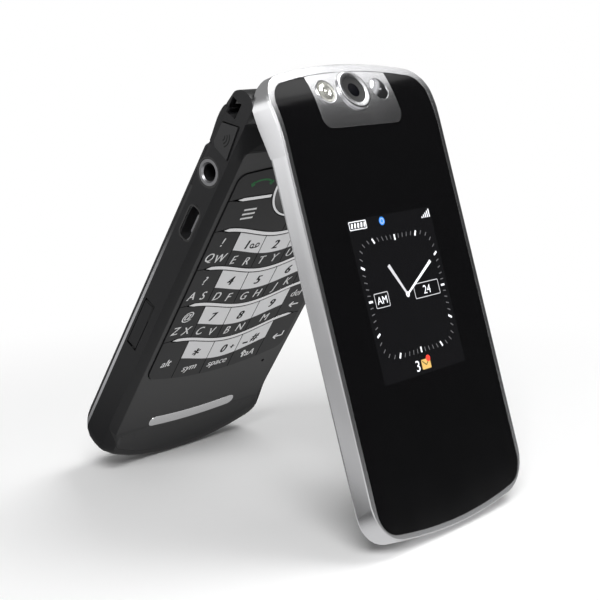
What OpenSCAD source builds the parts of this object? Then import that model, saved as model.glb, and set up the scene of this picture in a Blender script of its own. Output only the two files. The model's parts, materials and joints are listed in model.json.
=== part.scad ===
// Flip phone with a full keyboard, standing like a tent on the free ends of its two halves.
// Both halves are drawn as in the closed phone: X to the right, Y up to the hinge and Z
// towards the lid's outer face, with the hinge axis along X through the origin. Distances
// named s run from the hinge axis to the free end. in_base() and in_lid() lean the halves
// apart and set them on the ground, with the origin under the middle of the whole phone.

/* [Opening] */
// Angle between the two inner faces as the phone stands
open_angle = 50.7; // [40:0.1:70]

/* [Whole phone] */
// Width of both halves
body_w = 50; // [49:0.5:54]
// Clearance between pieces that are fixed to each other
fit_gap = 0.05; // [0.03:0.01:0.08]
// Clearance between pieces that move past each other
run_gap = 0.2; // [0.15:0.01:0.25]

/* [Base] */
// Hinge axis to the tip of the chin
base_len = 99.8; // [99:0.2:103]
// Height of the front face above the hinge axis
base_front = 4.1; // [4:0.05:4.3]
// Height of the chin above the front face
chin_h = 1.1; // [0.9:0.1:1.4]
// Depth of the frame's back edge below the hinge axis
frame_back = 2.9; // [2.8:0.05:3.1]
// Height of the bright trim strip behind the frame
trim_h = 0.7; // [0.5:0.05:0.9]
// Depth of the back cover behind the trim
cover_crown = 2; // [1.8:0.1:2.4]
// Radius of the chin's wide end arc
base_end_r = 48; // [46:0.5:54]
// Radius of the two corners at the chin
base_corner_r = 4.6; // [4.2:0.2:6]
// Width of the bevel between the side faces and the front face
side_bevel = 2; // [1.8:0.1:2.1]
// Height of that bevel
bevel_h = 1.2; // [1:0.1:1.3]
// Distance from the chin's tip to the end of the front panel
rim_w = 3.6; // [3.4:0.1:4.4]
// Thickness of the frame's side walls
side_wall = 2.7; // [2.5:0.1:2.9]
// Thickness of the plate between the battery and the board
web_t = 0.5; // [0.4:0.05:0.6]

/* [Lid] */
// Hinge axis to the lid's free end
lid_len = 89.4; // [88:0.2:90]
// Reach of the lid past the hinge axis
lid_tail = 6.2; // [6:0.1:6.6]
// Gap between the two inner faces when closed
closed_gap = 0.6; // [0.55:0.05:0.8]
// Thickness of the lid
lid_t = 4.05; // [4:0.05:5]
// Radius of the lid's wide end arcs
lid_end_r = 110; // [100:5:130]
// Radius of the corners at the lid's free end
lid_corner_r = 7; // [6:0.5:8]
// Radius of the corners at the lid's hinge end
lid_top_corner_r = 6.5; // [6:0.5:7.5]
// Where the lid's outer face starts to bend down to the hinge
bend_start = 9; // [8:0.5:10]
// Radius of that bend
bend_r = 34; // [32:1:40]
// Width of the lid's bright frame beside the window
bezel_w = 1.7; // [1.4:0.1:1.9]
// Thickness of the outer window
window_t = 0.9; // [0.8:0.05:0.95]
// Thickness of the lid's inner cover
inner_t = 1.2; // [1.1:0.05:1.3]

/* [Hinge] */
// Radius of the hinge barrel and of the ears beside it
barrel_r = 3.4; // [3.2:0.05:3.5]
// Width of the ears beside the barrel
ear_w = 11.2; // [10:0.1:13]
// Bore through the barrel
barrel_bore = 4.7; // [4.4:0.1:4.9]
// Diameter of the cam module's shaft
cam_shaft = 3; // [2.6:0.1:3.4]
// Diameter of the hollow bush's nose
bush_nose = 3.8; // [3.6:0.1:4]

/* [Keypad] */
// Distance from the side face to the keypad
keypad_side = 3.4; // [3:0.1:4]
// Hinge axis to the keypad's top edge
keypad_top = 11.8; // [11.6:0.1:12.2]
// Hinge axis to the keypad's bottom edge
keypad_bottom = 72.8; // [72:0.1:74]
// How much narrower the two outer columns of keys are than the others
edge_cut = 0.85; // [0.6:0.05:1]
// Length of a row of keys
row_h = 10.3; // [10:0.05:10.4]
// Hinge axis to the ends of the first full fret
first_fret = 27.8; // [27.4:0.1:28.2]
// Hinge axis to the short frets beside the trackball
short_fret = 19.9; // [19.5:0.1:20.3]
// How far a fret drops from its ends to its middle
fret_sag = 3.4; // [2.8:0.1:3.8]
// Width of a fret
fret_w = 0.9; // [0.7:0.05:1]
// Distance from a fret's tip to the keypad's edge
fret_tip_gap = 2.6; // [2.2:0.1:3.2]
// Travel of a key
key_travel = 0.3; // [0.2:0.05:0.35]
// Height of the keys above the front face
key_proud = 0.25; // [0.1:0.05:0.3]

/* [Trackball] */
// Diameter of the ball
ball_d = 5.2; // [5:0.1:5.4]
// Hinge axis to the ball
ball_s = 17.4; // [17:0.1:17.8]
// Outer diameter of the bright ring
ring_d = 18.2; // [17.6:0.1:18.8]
// Height of the ball's crown above the front face
ball_proud = 0.35; // [0.2:0.05:0.4]

/* [Side openings] */
// Bore of the headset socket
jack_bore = 3.5; // [3.4:0.05:3.6]
// Depth of the headset socket
jack_depth = 13; // [12:0.5:14]
// Hinge axis to the headset socket
jack_s = 16; // [15.6:0.1:16.4]
// Width of the charging socket's mouth
usb_w = 7.9; // [7.6:0.1:8.2]
// Height of the charging socket's mouth
usb_h = 2.7; // [2.5:0.1:2.9]
// Depth of the charging socket
usb_depth = 5.6; // [5:0.1:6]
// Hinge axis to the charging socket
usb_s = 28.1; // [27.6:0.1:28.6]
// Length of the memory card's door
door_len = 12.4; // [12.2:0.1:13]
// Height of that door
door_h = 2.8; // [2.6:0.1:3]
// Hinge axis to the middle of that door
door_s = 56.8; // [56:0.1:57.6]
// How far the side keys stand out
side_key_proud = 0.3; // [0.2:0.05:0.4]

/* [Outer face of the lid] */
// Width of the camera plate
plate_w = 24.4; // [23.4:0.2:25.4]
// Hinge axis to the camera plate's lower edge
plate_s = 7.3; // [7:0.1:7.8]
// Distance from the plate's side edges to the middle of the flash and of the mirror
lens_edge = 3.95; // [3.7:0.05:4.2]
// Diameter of the lens ring
lens_ring_d = 8.7; // [8.2:0.1:9]
// Diameter of the lens
lens_d = 5.9; // [5.4:0.1:6.2]
// Diameter of the flash lens
flash_d = 5.1; // [4.8:0.1:5.4]
// Diameter of the self-portrait mirror
mirror_d = 4.8; // [4.6:0.1:5.2]
// Width of the outer display
outer_display_w = 28; // [26:0.5:30]
// Length of the outer display
outer_display_h = 35; // [33:0.5:36]
// Hinge axis to the outer display's top edge
outer_display_s = 24.5; // [24:0.1:25.5]

/* [Battery and cards] */
// Width of the battery
battery_w = 34; // [33:0.5:35]
// Length of the battery
battery_h = 53; // [50:0.5:54]
// Hinge axis to the battery's top edge
battery_s = 30.5; // [30:0.1:31]
// Width of the SIM card
sim_w = 25; // [24.8:0.1:25]
// Height of the SIM card
sim_h = 15; // [14.8:0.1:15]
// Width of the memory card
card_w = 11; // [10.8:0.1:11]
// Length of the memory card
card_l = 15; // [14.8:0.1:15]
// Thickness of the memory card
card_t = 1; // [0.8:0.05:1]

/* [Hidden] */
$fn = 48;
eps = 0.01;
slice_t = 0.01;
slide_gap = 0.1;

key_names = [["key_qw", "key_er", "key_ty", "key_ui", "key_op"],
             ["key_as", "key_df", "key_gh", "key_jk", "key_l"],
             ["key_zx", "key_cv", "key_bn", "key_m", "key_delete"],
             ["key_alt", "key_symbol", "key_space", "key_shift", "key_enter"]];

// Levels along Z, measured from the hinge axis
chin_top = base_front + chin_h;
frame_bottom = -frame_back;
cover_top = frame_bottom - trim_h;
cover_bottom = cover_top - cover_crown;
panel_t = 1.2;
panel_bottom = base_front - panel_t;
board_t = 0.8;
board_bottom = panel_bottom - 0.9 - board_t;
board_top = board_bottom + board_t;
web_bottom = -0.45;
web_top = web_bottom + web_t;
dome_h = 0.25;
key_bottom = board_top + dome_h + key_travel + fit_gap;
key_top = base_front + key_proud;
fret_top = key_top + 0.05;
lid_in = base_front + closed_gap;
lid_out = lid_in + lid_t;

// Widths that follow the phone's width
keypad_w = body_w - 2 * keypad_side;
column_w = (keypad_w + 2 * edge_cut) / 5;
fret_reach = keypad_w / 2 - fret_tip_gap;
barrel_w = body_w - 2 * ear_w;
lens_pitch = plate_w / 2 - lens_edge;

// ---- Outlines -------------------------------------------------------------------------

function arc(c, r, a0, a1, n, first = 0) =
    [for (i = [first : n]) let (a = a0 + (a1 - a0) * i / n) c + r * [cos(a), sin(a)]];

// Right half of a free end, as [x, distance past the end]: a short straight foot in the
// middle, a wide arc and a tangent corner
function end_points(half_w, wide_r, corner_r) =
    let (cx = half_w - corner_r,
         cd = wide_r - sqrt(pow(wide_r - corner_r, 2) - cx * cx),
         a = asin(cx / (wide_r - corner_r)))
    concat([for (i = [0 : 4]) let (b = a * (i + 0.5) / 4.5)
               [wide_r * sin(b), i == 0 ? 0 : wide_r * (1 - cos(b))]],
           [for (i = [1 : 7]) let (b = a + (90 - a) * i / 7)
               [cx + corner_r * sin(b), cd - corner_r * cos(b)]]);

function flip_x(pts) = [for (i = [len(pts) - 1 : -1 : 0]) [-pts[i][0], pts[i][1]]];

// Closed outline of a plate between two free ends; inset moves every edge inwards
function outline(w, top, bottom, bottom_r, bottom_corner, top_r, top_corner, inset = 0) =
    let (low = [for (p = end_points(w / 2 - inset, bottom_r - inset, bottom_corner - inset))
                   [p[0], -bottom + inset + p[1]]],
         high = [for (p = end_points(w / 2 - inset, top_r - inset, top_corner - inset))
                   [p[0], -top - inset - p[1]]],
         right = concat(low, [for (i = [len(high) - 1 : -1 : 0]) high[i]]),
         left = [for (p = flip_x(right)) if (p[0] < -eps) p])
    concat(right, left);

function base_outline(side_in, end_in, top) =
    outline(body_w - 2 * side_in, top, base_len - end_in, base_end_r,
            base_corner_r - side_in / 2, 2000, 0.8);

function lid_outline(inset, side_in = 0, corner_r = lid_corner_r) =
    outline(body_w - 2 * side_in, -lid_tail, lid_len - side_in, lid_end_r,
            corner_r - side_in / 2, lid_end_r, lid_top_corner_r - side_in / 2, inset);

function keypad_outline(inset) =
    outline(keypad_w, keypad_top, keypad_bottom, 79, 3, 150, 2.5, inset);

module plate(points, z0, z1) {
    translate([0, 0, z0]) linear_extrude(z1 - z0) polygon(points);
}

// Profile in the plane across the hinge, extruded along X
module across(x0, x1, points) {
    multmatrix([[0, 0, 1, x0], [1, 0, 0, 0], [0, 1, 0, 0], [0, 0, 0, 1]])
        linear_extrude(x1 - x0) polygon(points);
}

module along_x(x0, x1, r, y = 0, z = 0) {
    translate([x0, y, z]) rotate([0, 90, 0]) cylinder(r = r, h = x1 - x0);
}

module block(x0, x1, s0, s1, z0, z1) {
    translate([x0, -s1, z0]) cube([x1 - x0, s1 - s0, z1 - z0]);
}

// ---- Base: outer form -----------------------------------------------------------------

// The chin's end face bulges out most at this height
end_mid = 0.4;

function end_in(z) = z > end_mid ? pow(z - end_mid, 2) / 12.6 : pow(end_mid - z, 4) / 125;

block_s = 11;   // length of the hinge block
bevel_low = base_front - bevel_h;
cover_rim = cover_top - slide_gap;

// Slices are [height, inset at the sides, inset at the end, start]
frame_slices = [for (z = [frame_bottom, -1.7, -0.5, end_mid, 1.7, bevel_low]) [z, 0, end_in(z)]];
chin_slices = [[bevel_low, 0, end_in(bevel_low)],
               [base_front - slice_t, side_bevel, end_in(base_front)],
               [chin_top - 0.3, side_bevel, end_in(chin_top - 0.3) + 0.1],
               [chin_top - slice_t, side_bevel + 0.3, end_in(chin_top) + 0.6]];
trim_slices = [for (z = [cover_top, frame_bottom - slice_t]) [z, 0, end_in(z)]];
cover_slices = [[cover_rim - slice_t, 0, end_in(cover_rim), block_s],
                [cover_rim - 0.45, 0.05, end_in(cover_rim - 0.45), block_s],
                [cover_rim - 0.9, 0.5, end_in(cover_rim - 0.9), block_s + 0.4],
                [cover_rim - 1.3, 1.7, end_in(cover_rim - 1.3) + 0.4, block_s + 6],
                [cover_rim - 1.6, 3.6, end_in(cover_rim - 1.6) + 1, block_s + 24],
                [cover_bottom, 7, end_in(cover_bottom) + 3, block_s + 48]];

module slice(outline_points, z) {
    translate([0, 0, z]) linear_extrude(slice_t) polygon(outline_points);
}

// Slab between the frame's back edge and its front face
module frame_form() {
    hull() {
        for (k = frame_slices) slice(base_outline(k[1], k[2], block_s - 1), k[0]);
        slice(base_outline(side_bevel, end_in(base_front) + side_bevel / 2, block_s - 1),
              base_front - slice_t);
    }
}

// The raised chin, which swings up along the sides where the lid's corners turn away
module chin_form() {
    rise_s = lid_len - 5.4;
    rise_l = 6;
    intersection() {
        hull() for (k = chin_slices) slice(base_outline(k[1], k[2], rise_s - 2), k[0]);
        across(-body_w / 2, body_w / 2,
               concat([for (t = [0 : 0.125 : 1])
                          [-rise_s - rise_l * t,
                           bevel_low + (chin_h + bevel_h + eps) * (1 - cos(180 * t)) / 2]],
                      [[-base_len - 1, chin_top + eps], [-base_len - 1, bevel_low]]));
    }
}

// Room for the closed lid's free end
lid_clear = 0.5;

module lid_room() {
    plate(lid_outline(-lid_clear), base_front + closed_gap / 2, chin_top + 1);
}

function hinge_back(s) = 4 + 0.45 * (1 + cos(min(max(s - 5.5, -5), 5) * 36)) / 2;

// Cross-section of the hinge block: round ear, bulging back and a ramp up to the front face
block_profile = concat(
    arc([0, 0], barrel_r, 125, -78, 20),
    [for (s = [1.6 : 1.05 : block_s]) [-s, -hinge_back(s)]],
    [[-block_s, -hinge_back(block_s)], [-block_s, base_front], [-8.2, base_front]]);

module hinge_block() {
    intersection() {
        across(-body_w / 2, body_w / 2, block_profile);
        hull() {
            translate([0, 0, bevel_low]) cube([body_w, 3 * block_s, eps], center = true);
            translate([0, 0, base_front])
                cube([body_w - 2 * side_bevel, 3 * block_s, eps], center = true);
            translate([0, 0, -frame_back]) cube([body_w, 3 * block_s, eps], center = true);
            translate([0, 0, -frame_back - 2])
                cube([body_w - 2.4, 3 * block_s, eps], center = true);
        }
    }
}

// ---- Base: frame ----------------------------------------------------------------------

panel_in = side_bevel + 0.2;       // front panel's edge, in from the side face
panel_end = base_len - rim_w;
panel_corner_r = 4;
panel_top = 7.6;
bay_gap = 0.3;

function panel_outline(inset, end_s = panel_end) =
    outline(body_w - 2 * panel_in, panel_top, end_s, base_end_r - rim_w / 2, panel_corner_r, 2000, 2,
            inset);

inner_half = body_w / 2 - side_wall;
board_half = inner_half - 0.2;
board_s = 9.6;
board_end = 86.2;
jack_z = -0.65;
jack_r = jack_bore / 2 + 0.95;
trim_s = jack_s + jack_r + 2.3;    // start of the trim, past the headset socket
usb_z = 0.2;
usb_wall = 0.35;
door_z = -0.7;
door_t = 1;
card_z = 0.3;
slot_h = 1.6;
speaker_s = 86.6;
speaker_w = 15;
speaker_h = 6;
sim_s = 13;
sim_t = 0.8;
socket_half = 4.4;
ball_z = base_front + ball_proud - ball_d / 2;
socket_bottom = ball_z - ball_d / 2 - 0.5;

// Outline of the left key, as [y, z]
left_key = [[-5.1, -2.4], [-3.4, 1.7], [-10.7, 2.4], [-10.4, -1.5], [-9.6, -2.4]];
right_key_s = 48;
right_key_l = 11;
volume_s = 24;
volume_l = 19;
side_key_h = 3;

function capsule(l, h, n = 8) =
    concat(arc([l / 2 - h / 2, 0], h / 2, -90, 90, n), arc([-l / 2 + h / 2, 0], h / 2, 90, 270, n));

// Stadium-shaped prism along X, centred at s
module capsule_x(x0, x1, s, z, l, h) {
    across(x0, x1, [for (p = capsule(l, h)) [p[0] - s, p[1] + z]]);
}

module lanyard_eye() {
    outer = body_w / 2;
    block(-outer - eps, -outer + 4.2, -0.7, 2.8, -2.7, 0);
    block(-outer + 1.6, -outer + 4, -1.6, 1.1, -5, -1);
}

module base_frame() color([0.1, 0.1, 0.11]) difference() {
    union() {
        frame_form();
        chin_form();
        hinge_block();
        // The frame is deeper round the headset socket, up to the start of the trim
        intersection() {
            plate(base_outline(0, end_in(cover_top), block_s - 1), cover_top,
                  frame_bottom + eps);
            block(-body_w, body_w, block_s - 1, trim_s, -9, 9);
        }
    }
    lid_room();
    plate(panel_outline(0), panel_bottom, chin_top + 1);
    // Keyboard and board space, and the ledge that carries the board
    block(-inner_half, inner_half, board_s - 0.2, board_end + 0.2, board_bottom,
          panel_bottom + eps);
    block(-inner_half + 1.2, inner_half - 1.2, board_s + 0.8, board_end - 0.8, web_top,
          board_bottom + eps);
    translate([0, -ball_s, board_bottom]) cylinder(d = ring_d + 2 * fit_gap, h = 4);
    // Battery bay, SIM tray and loudspeaker seat
    block(-battery_w / 2 - bay_gap, battery_w / 2 + bay_gap, battery_s - bay_gap,
          battery_s + battery_h + bay_gap, frame_bottom - 1, web_bottom);
    block(-8 - fit_gap, -8 + sim_w + fit_gap, sim_s - fit_gap, sim_s + sim_h + fit_gap,
          frame_bottom - 1, frame_bottom + sim_t);
    block(-speaker_w / 2 - fit_gap, speaker_w / 2 + fit_gap, speaker_s - fit_gap,
          speaker_s + speaker_h + fit_gap, frame_bottom - 1, 0.4);
    // Trackball housing
    block(-socket_half - fit_gap, socket_half + fit_gap, ball_s - socket_half - fit_gap,
          ball_s + socket_half + fit_gap, socket_bottom - fit_gap, web_top + eps);
    // Barrel space between the ears
    block(-barrel_w / 2 - run_gap, barrel_w / 2 + run_gap, -6, barrel_r + 0.6, -8, 8);
    // Seats of the hinge cam's shaft and of the bush's nose
    along_x(barrel_w / 2, barrel_w / 2 + 5.4, cam_shaft / 2 + 0.05);
    along_x(-barrel_w / 2 - 4.2, -barrel_w / 2, bush_nose / 2 + 0.05);
    lanyard_eye();
    // Headset socket, charging socket and memory card
    along_x(-body_w / 2 - 1, -body_w / 2 + jack_depth + 1.4, jack_r + fit_gap, -jack_s, jack_z);
    capsule_x(-body_w / 2 - 1, -body_w / 2 + usb_depth + 1.2, usb_s, usb_z,
              usb_w + 2 * usb_wall + 2 * fit_gap, usb_h + 2 * usb_wall + 2 * fit_gap);
    block(-body_w / 2 - 1, -body_w / 2 + door_t + 0.1, door_s - door_len / 2 - run_gap,
          door_s + door_len / 2 + run_gap, door_z - door_h / 2 - run_gap,
          door_z + door_h / 2 + run_gap);
    block(-body_w / 2 + door_t, -body_w / 2 + card_l + 4, door_s - card_w / 2 - 0.7,
          door_s + card_w / 2 + 0.7, card_z - slot_h / 2, board_bottom);
    // Side keys
    side_key_room(-1) left_key_shape(run_gap);
    side_key_room(1) side_key_shape(right_key_s, right_key_l, run_gap);
    side_key_room(1) side_key_shape(volume_s, volume_l, run_gap);
}

// ---- Side keys ------------------------------------------------------------------------

key_depth = 1.3;        // depth of a side key's cap below the side face
flange_w = 0.5;

// A side key's outline, drawn with X towards the hinge and Y towards the lid
module left_key_shape(grow = 0) {
    // Each edge of this five-sided outline moves out by grow from the outline's middle
    middle = [-7.4, -0.2];
    polygon([for (p = left_key) let (d = p - middle) p + d / norm(d) * grow * 1.25]);
}

module side_key_shape(s, l, grow = 0) {
    polygon([for (p = capsule(l + 2 * grow, side_key_h + 2 * grow)) [p[0] - s, p[1] + 0.2]]);
}

module beside(x0, x1) {
    multmatrix([[0, 0, 1, x0], [1, 0, 0, 0], [0, 1, 0, 0], [0, 0, 0, 1]])
        linear_extrude(x1 - x0) children();
}

module side_key_room(side) {
    outer = body_w / 2;
    inner = outer - key_depth - 0.35 - key_travel - run_gap;
    if (side > 0) beside(inner, outer + 1) children();
    else beside(-outer - 1, -inner) children();
}

module side_key_body(side) {
    outer = body_w / 2;
    if (side > 0) beside(outer - key_depth, outer + side_key_proud) children();
    else beside(-outer - side_key_proud, -outer + key_depth) children();
}

module side_key_left() color([0.16, 0.16, 0.17]) side_key_body(-1) left_key_shape();

module side_key_right() color([0.16, 0.16, 0.17])
    side_key_body(1) side_key_shape(right_key_s, right_key_l);

module volume_rocker() color([0.16, 0.16, 0.17]) difference() {
    side_key_body(1) side_key_shape(volume_s, volume_l);
    // Finger hollow between the two ends
    translate([body_w / 2 + 9.7, -volume_s, 0]) cylinder(r = 9.6, h = 20, center = true, $fn = 96);
}

// ---- Base: front ----------------------------------------------------------------------

bar_half = 12;
bar_s = base_len - 14.8;
bar_w = 3.1;
bar_r = 120;

// Chin bar's outline: a slightly curved strip with round ends
function bar_points(grow) =
    let (a = asin(bar_half / bar_r), c = [0, -bar_s - bar_w / 2 + bar_r], h = bar_w / 2 + grow)
    concat(arc(c, bar_r + h, -90 - a, -90 + a, 10),
           arc(c + bar_r * [sin(a), -cos(a)], h, -90 + a, 90 + a, 8, 1),
           arc(c, bar_r - h, -90 + a, -90 - a, 10, 1),
           arc(c - bar_r * [sin(a), cos(a)], h, 90 - a, 270 - a - 22.5, 7, 1));

// Air in front of the panel where it curves up to the chin's rim
module chin_ramp() {
    s0 = bar_s + bar_w / 2 + 1;
    hull() for (k = [[0, 0], [0.13, 0.38], [0.38, 0.7], [0.69, 0.89], [1, 1]])
        slice(panel_outline(-fit_gap, s0 + (panel_end - 0.3 - s0) * k[1]),
              base_front + (chin_h + eps) * k[0]);
}

module front_panel() color([0.14, 0.14, 0.145]) difference() {
    intersection() {
        union() {
            frame_form();
            chin_form();
            hinge_block();
        }
        plate(panel_outline(fit_gap), panel_bottom, chin_top + 1);
    }
    lid_room();
    chin_ramp();
    plate(keypad_outline(0), panel_bottom - 1, base_front + 1);
    translate([0, -ball_s, panel_bottom - 1]) cylinder(d = ring_d + 2 * fit_gap, h = 4);
    plate(bar_points(fit_gap), base_front - 0.5, chin_top);
    // Microphone
    translate([keypad_w / 2 - 3.9, -keypad_bottom - 1.4, panel_bottom - 1])
        cylinder(d = 0.9, h = 4);
}

module chin_bar() color([0.75, 0.75, 0.76])
    plate(bar_points(0), base_front - 0.5, base_front + 0.15);

module side_trim() color([0.8, 0.8, 0.82]) difference() {
    hull() for (k = trim_slices) slice(base_outline(k[1], k[2], block_s), k[0]);
    plate(base_outline(1, end_in(cover_top) + 1.2, 0), cover_top - 1, frame_bottom + 1);
    block(-body_w, body_w, 0, trim_s + fit_gap, -9, 9);
}

// ---- Keypad ---------------------------------------------------------------------------

// A fret's line: level at its ends and lower in the middle, as s for a given x
function fret_line(end_s, x) =
    end_s + fret_sag * (1 + cos(180 * min(abs(x) / fret_reach, 1))) / 2;

// Half the width of a fret, which narrows to its tip
function fret_half(x) =
    fret_w / 2 * sqrt(max(0, 1 - pow(max(0, abs(x) - fret_reach + 2) / 2, 2)));

// Half the room between two rows of keys, which closes past the fret's tip
function row_half(x) = run_gap / 2 + (abs(x) < fret_reach ? fret_half(x) + run_gap / 2 : 0);

// Frets are numbered from the trackball's row down
function fret_end(i) = first_fret + row_h * i;

function fret_points(line_s, x0, x1, n, tip0, tip1) =
    let (xs = [for (i = [0 : n]) x0 + (x1 - x0) * i / n])
    concat([for (i = [0 : n]) [xs[i], -line_s[i] - (i == 0 && tip0 || i == n && tip1 ? 0
                                                     : fret_half(xs[i]))]],
           [for (i = [n : -1 : 0]) if (!(i == 0 && tip0 || i == n && tip1))
               [xs[i], -line_s[i] + fret_half(xs[i])]]);

module full_fret(i) {
    n = 24;
    xs = [for (k = [0 : n]) -fret_reach + 2 * fret_reach * k / n];
    plate(fret_points([for (x = xs) fret_line(fret_end(i), x)], -fret_reach, fret_reach, n,
                      true, true), board_top, fret_top);
}

ring_r = ring_d / 2;
dish_r = ring_r - 0.75;

module key_frets() color([0.82, 0.82, 0.84]) {
    for (i = [0 : 3]) full_fret(i);
    for (m = [0, 1]) mirror([m, 0, 0]) {
        n = 6;
        plate(fret_points([for (k = [0 : n]) short_fret], -fret_reach, -ring_r - 0.1, n,
                          true, false), board_top, fret_top);
    }
    // Ring round the trackball, wider at the top
    translate([0, -ball_s, board_top]) difference() {
        cylinder(r = ring_r, h = base_front + 0.3 - board_top, $fn = 72);
        translate([0, -0.3, -1]) cylinder(r = dish_r, h = 6, $fn = 72);
    }
}

function row_edge(i, x) = i == 4 ? keypad_bottom + 2 : fret_line(fret_end(i), x);
function row_clear(i, x) = i == 4 ? 0 : row_half(x);

// Edge points of a key between x0 and x1, along the top or the bottom of row i
function key_edge(i, x0, x1, dir, n = 6) =
    [for (k = [0 : n]) let (x = x0 + (x1 - x0) * k / n)
        [x, -row_edge(i, x) + dir * row_clear(i, x)]];

module keycap(row, col) {
    x0 = col == 0 ? -keypad_w / 2 - 1 : (col - 2.5) * column_w + run_gap / 2;
    x1 = col == 4 ? keypad_w / 2 + 1 : (col - 1.5) * column_w - run_gap / 2;
    translate([0, 0, key_bottom]) linear_extrude(key_top - key_bottom) intersection() {
        polygon(concat(key_edge(row + 1, x0, x1, 1), key_edge(row, x1, x0, -1)));
        polygon(keypad_outline(run_gap));
    }
}

// One of the four keys beside the trackball: side -1 is left, and level 0 the upper one
module nav_key(side, level) {
    x_far = keypad_w / 2 + 1;
    n = 12;
    xs = [for (k = [0 : n]) x_far + (run_gap / 2 - x_far) * k / n];
    top = level == 0 ? [for (x = xs) [x, -keypad_top + 1]]
                     : [for (x = xs) [x, -short_fret - row_half(x)]];
    low = level == 0 ? [for (x = xs) [x, -short_fret + row_half(x)]]
                     : [for (x = xs) [x, -row_edge(0, x) + row_clear(0, x)]];
    translate([0, 0, key_bottom]) linear_extrude(key_top - key_bottom) difference() {
        intersection() {
            scale([side, 1]) polygon(concat(top, [for (i = [n : -1 : 0]) low[i]]));
            polygon(keypad_outline(run_gap));
        }
        translate([0, -ball_s]) circle(r = ring_r + run_gap, $fn = 72);
    }
}

module key_send() color([0.12, 0.13, 0.12]) nav_key(-1, 0);
module key_menu() color([0.12, 0.12, 0.12]) nav_key(-1, 1);
module key_escape() color([0.12, 0.12, 0.12]) nav_key(1, 1);
module key_end() color([0.13, 0.12, 0.12]) nav_key(1, 0);

// ---- Trackball ------------------------------------------------------------------------

module trackball_socket() color([0.06, 0.06, 0.06]) difference() {
    union() {
        translate([0, -ball_s - 0.3, board_top]) cylinder(r = dish_r - fit_gap,
            h = base_front - board_top, $fn = 72);
        block(-socket_half, socket_half, ball_s - socket_half, ball_s + socket_half,
              socket_bottom, board_top + eps);
    }
    // Dish round the ball
    translate([0, -ball_s - 0.15, base_front - 0.85])
        cylinder(r1 = ball_d / 2 + 0.4, r2 = dish_r - 0.4, h = 0.86, $fn = 72);
    translate([0, -ball_s, ball_z]) sphere(d = ball_d + 0.3, $fn = 64);
    translate([0, -ball_s, ball_z + 1]) cylinder(d = ball_d - 0.2, h = 5);
}

module trackball() color([0.85, 0.86, 0.88])
    translate([0, -ball_s, ball_z]) sphere(d = ball_d, $fn = 64);

// ---- Inside the base ------------------------------------------------------------------

// Centre of the dome under a key of the grid
function dome_middle(row, col) =
    let (x = (col - 2) * (column_w - 0.4))
    [x, -(fret_line(fret_end(row), x) + row_h / 2)];

module dome(p, r = 1.6) {
    translate([p[0], p[1], board_top - eps])
        cylinder(r1 = r, r2 = r - 0.5, h = dome_h + eps, $fn = 24);
}

module main_board() color([0.05, 0.3, 0.16]) {
    difference() {
        block(-board_half, board_half, board_s, board_end, board_bottom, board_top);
        block(-socket_half - 0.2, socket_half + 0.2, ball_s - socket_half - 0.2,
              ball_s + socket_half + 0.2, -9, 9);
        // Cut-outs for the two sockets that stand in the board's plane
        block(-body_w, -body_w / 2 + jack_depth + 1.8, jack_s - jack_r - 0.3,
              jack_s + jack_r + 0.3, -9, 9);
        block(-body_w, -body_w / 2 + usb_depth + 1.5, usb_s - usb_w / 2 - usb_wall - 0.3,
              usb_s + usb_w / 2 + usb_wall + 0.3, -9, 9);
    }
    for (row = [0 : 3], col = [0 : 4]) dome(dome_middle(row, col));
    for (m = [-1, 1]) {
        dome([m * (ring_r + 0.4), -keypad_top - 0.2], 1.2);
        dome([m * 14.5, -short_fret - 4.6]);
    }
    // Shield cans at the chin
    for (x = [-16, 2]) block(x, x + 14, 75.5, board_end - 1.5, board_top - eps, board_top + 0.7);
}

module battery() color([0.2, 0.22, 0.25]) difference() {
    block(-battery_w / 2, battery_w / 2, battery_s, battery_s + battery_h,
          cover_bottom + 1.25, web_bottom - fit_gap);
    // Contacts
    for (x = [-4.5 : 3 : 4.5]) block(x - 0.8, x + 0.8, battery_s - 1, battery_s + 0.4, -3, -1.4);
}

module sim_card() color([0.9, 0.75, 0.35]) difference() {
    block(-8, -8 + sim_w, sim_s, sim_s + sim_h, frame_bottom, frame_bottom + sim_t - fit_gap);
    // Cut corner
    translate([-8 + sim_w, -sim_s, 0]) rotate([0, 0, 45]) cube([4.2, 4.2, 20], center = true);
}

module battery_cover() color([0.08, 0.08, 0.085]) difference() {
    hull() for (k = cover_slices) slice(base_outline(k[1], k[2], k[3] + 0.2), k[0]);
    // Hollow inside, over the battery and the rest of the back
    hull() {
        slice(base_outline(1.4, end_in(cover_rim) + 1.8, block_s + 1.4), cover_rim - 0.15);
        slice(base_outline(7, end_in(cover_rim) + 6, block_s + 16), cover_bottom + 1.05);
    }
    plate(base_outline(1.4, end_in(cover_rim) + 1.8, block_s + 1.4), cover_rim - 0.15,
          cover_rim + 1);
    // Loudspeaker slots
    for (i = [-2 : 2]) translate([i * 2.2, -speaker_s - speaker_h / 2, -6])
        cylinder(d = 1.1, h = 5);
}

module headset_jack() color([0.7, 0.7, 0.72]) difference() {
    along_x(-body_w / 2, -body_w / 2 + jack_depth + 1.2, jack_r, -jack_s, jack_z);
    along_x(-body_w / 2 - 1, -body_w / 2 + jack_depth, jack_bore / 2, -jack_s, jack_z);
    // Bevelled mouth
    translate([-body_w / 2 - eps, -jack_s, jack_z]) rotate([0, 90, 0])
        cylinder(r1 = jack_bore / 2 + 0.35, r2 = jack_bore / 2, h = 0.35);
}

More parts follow.
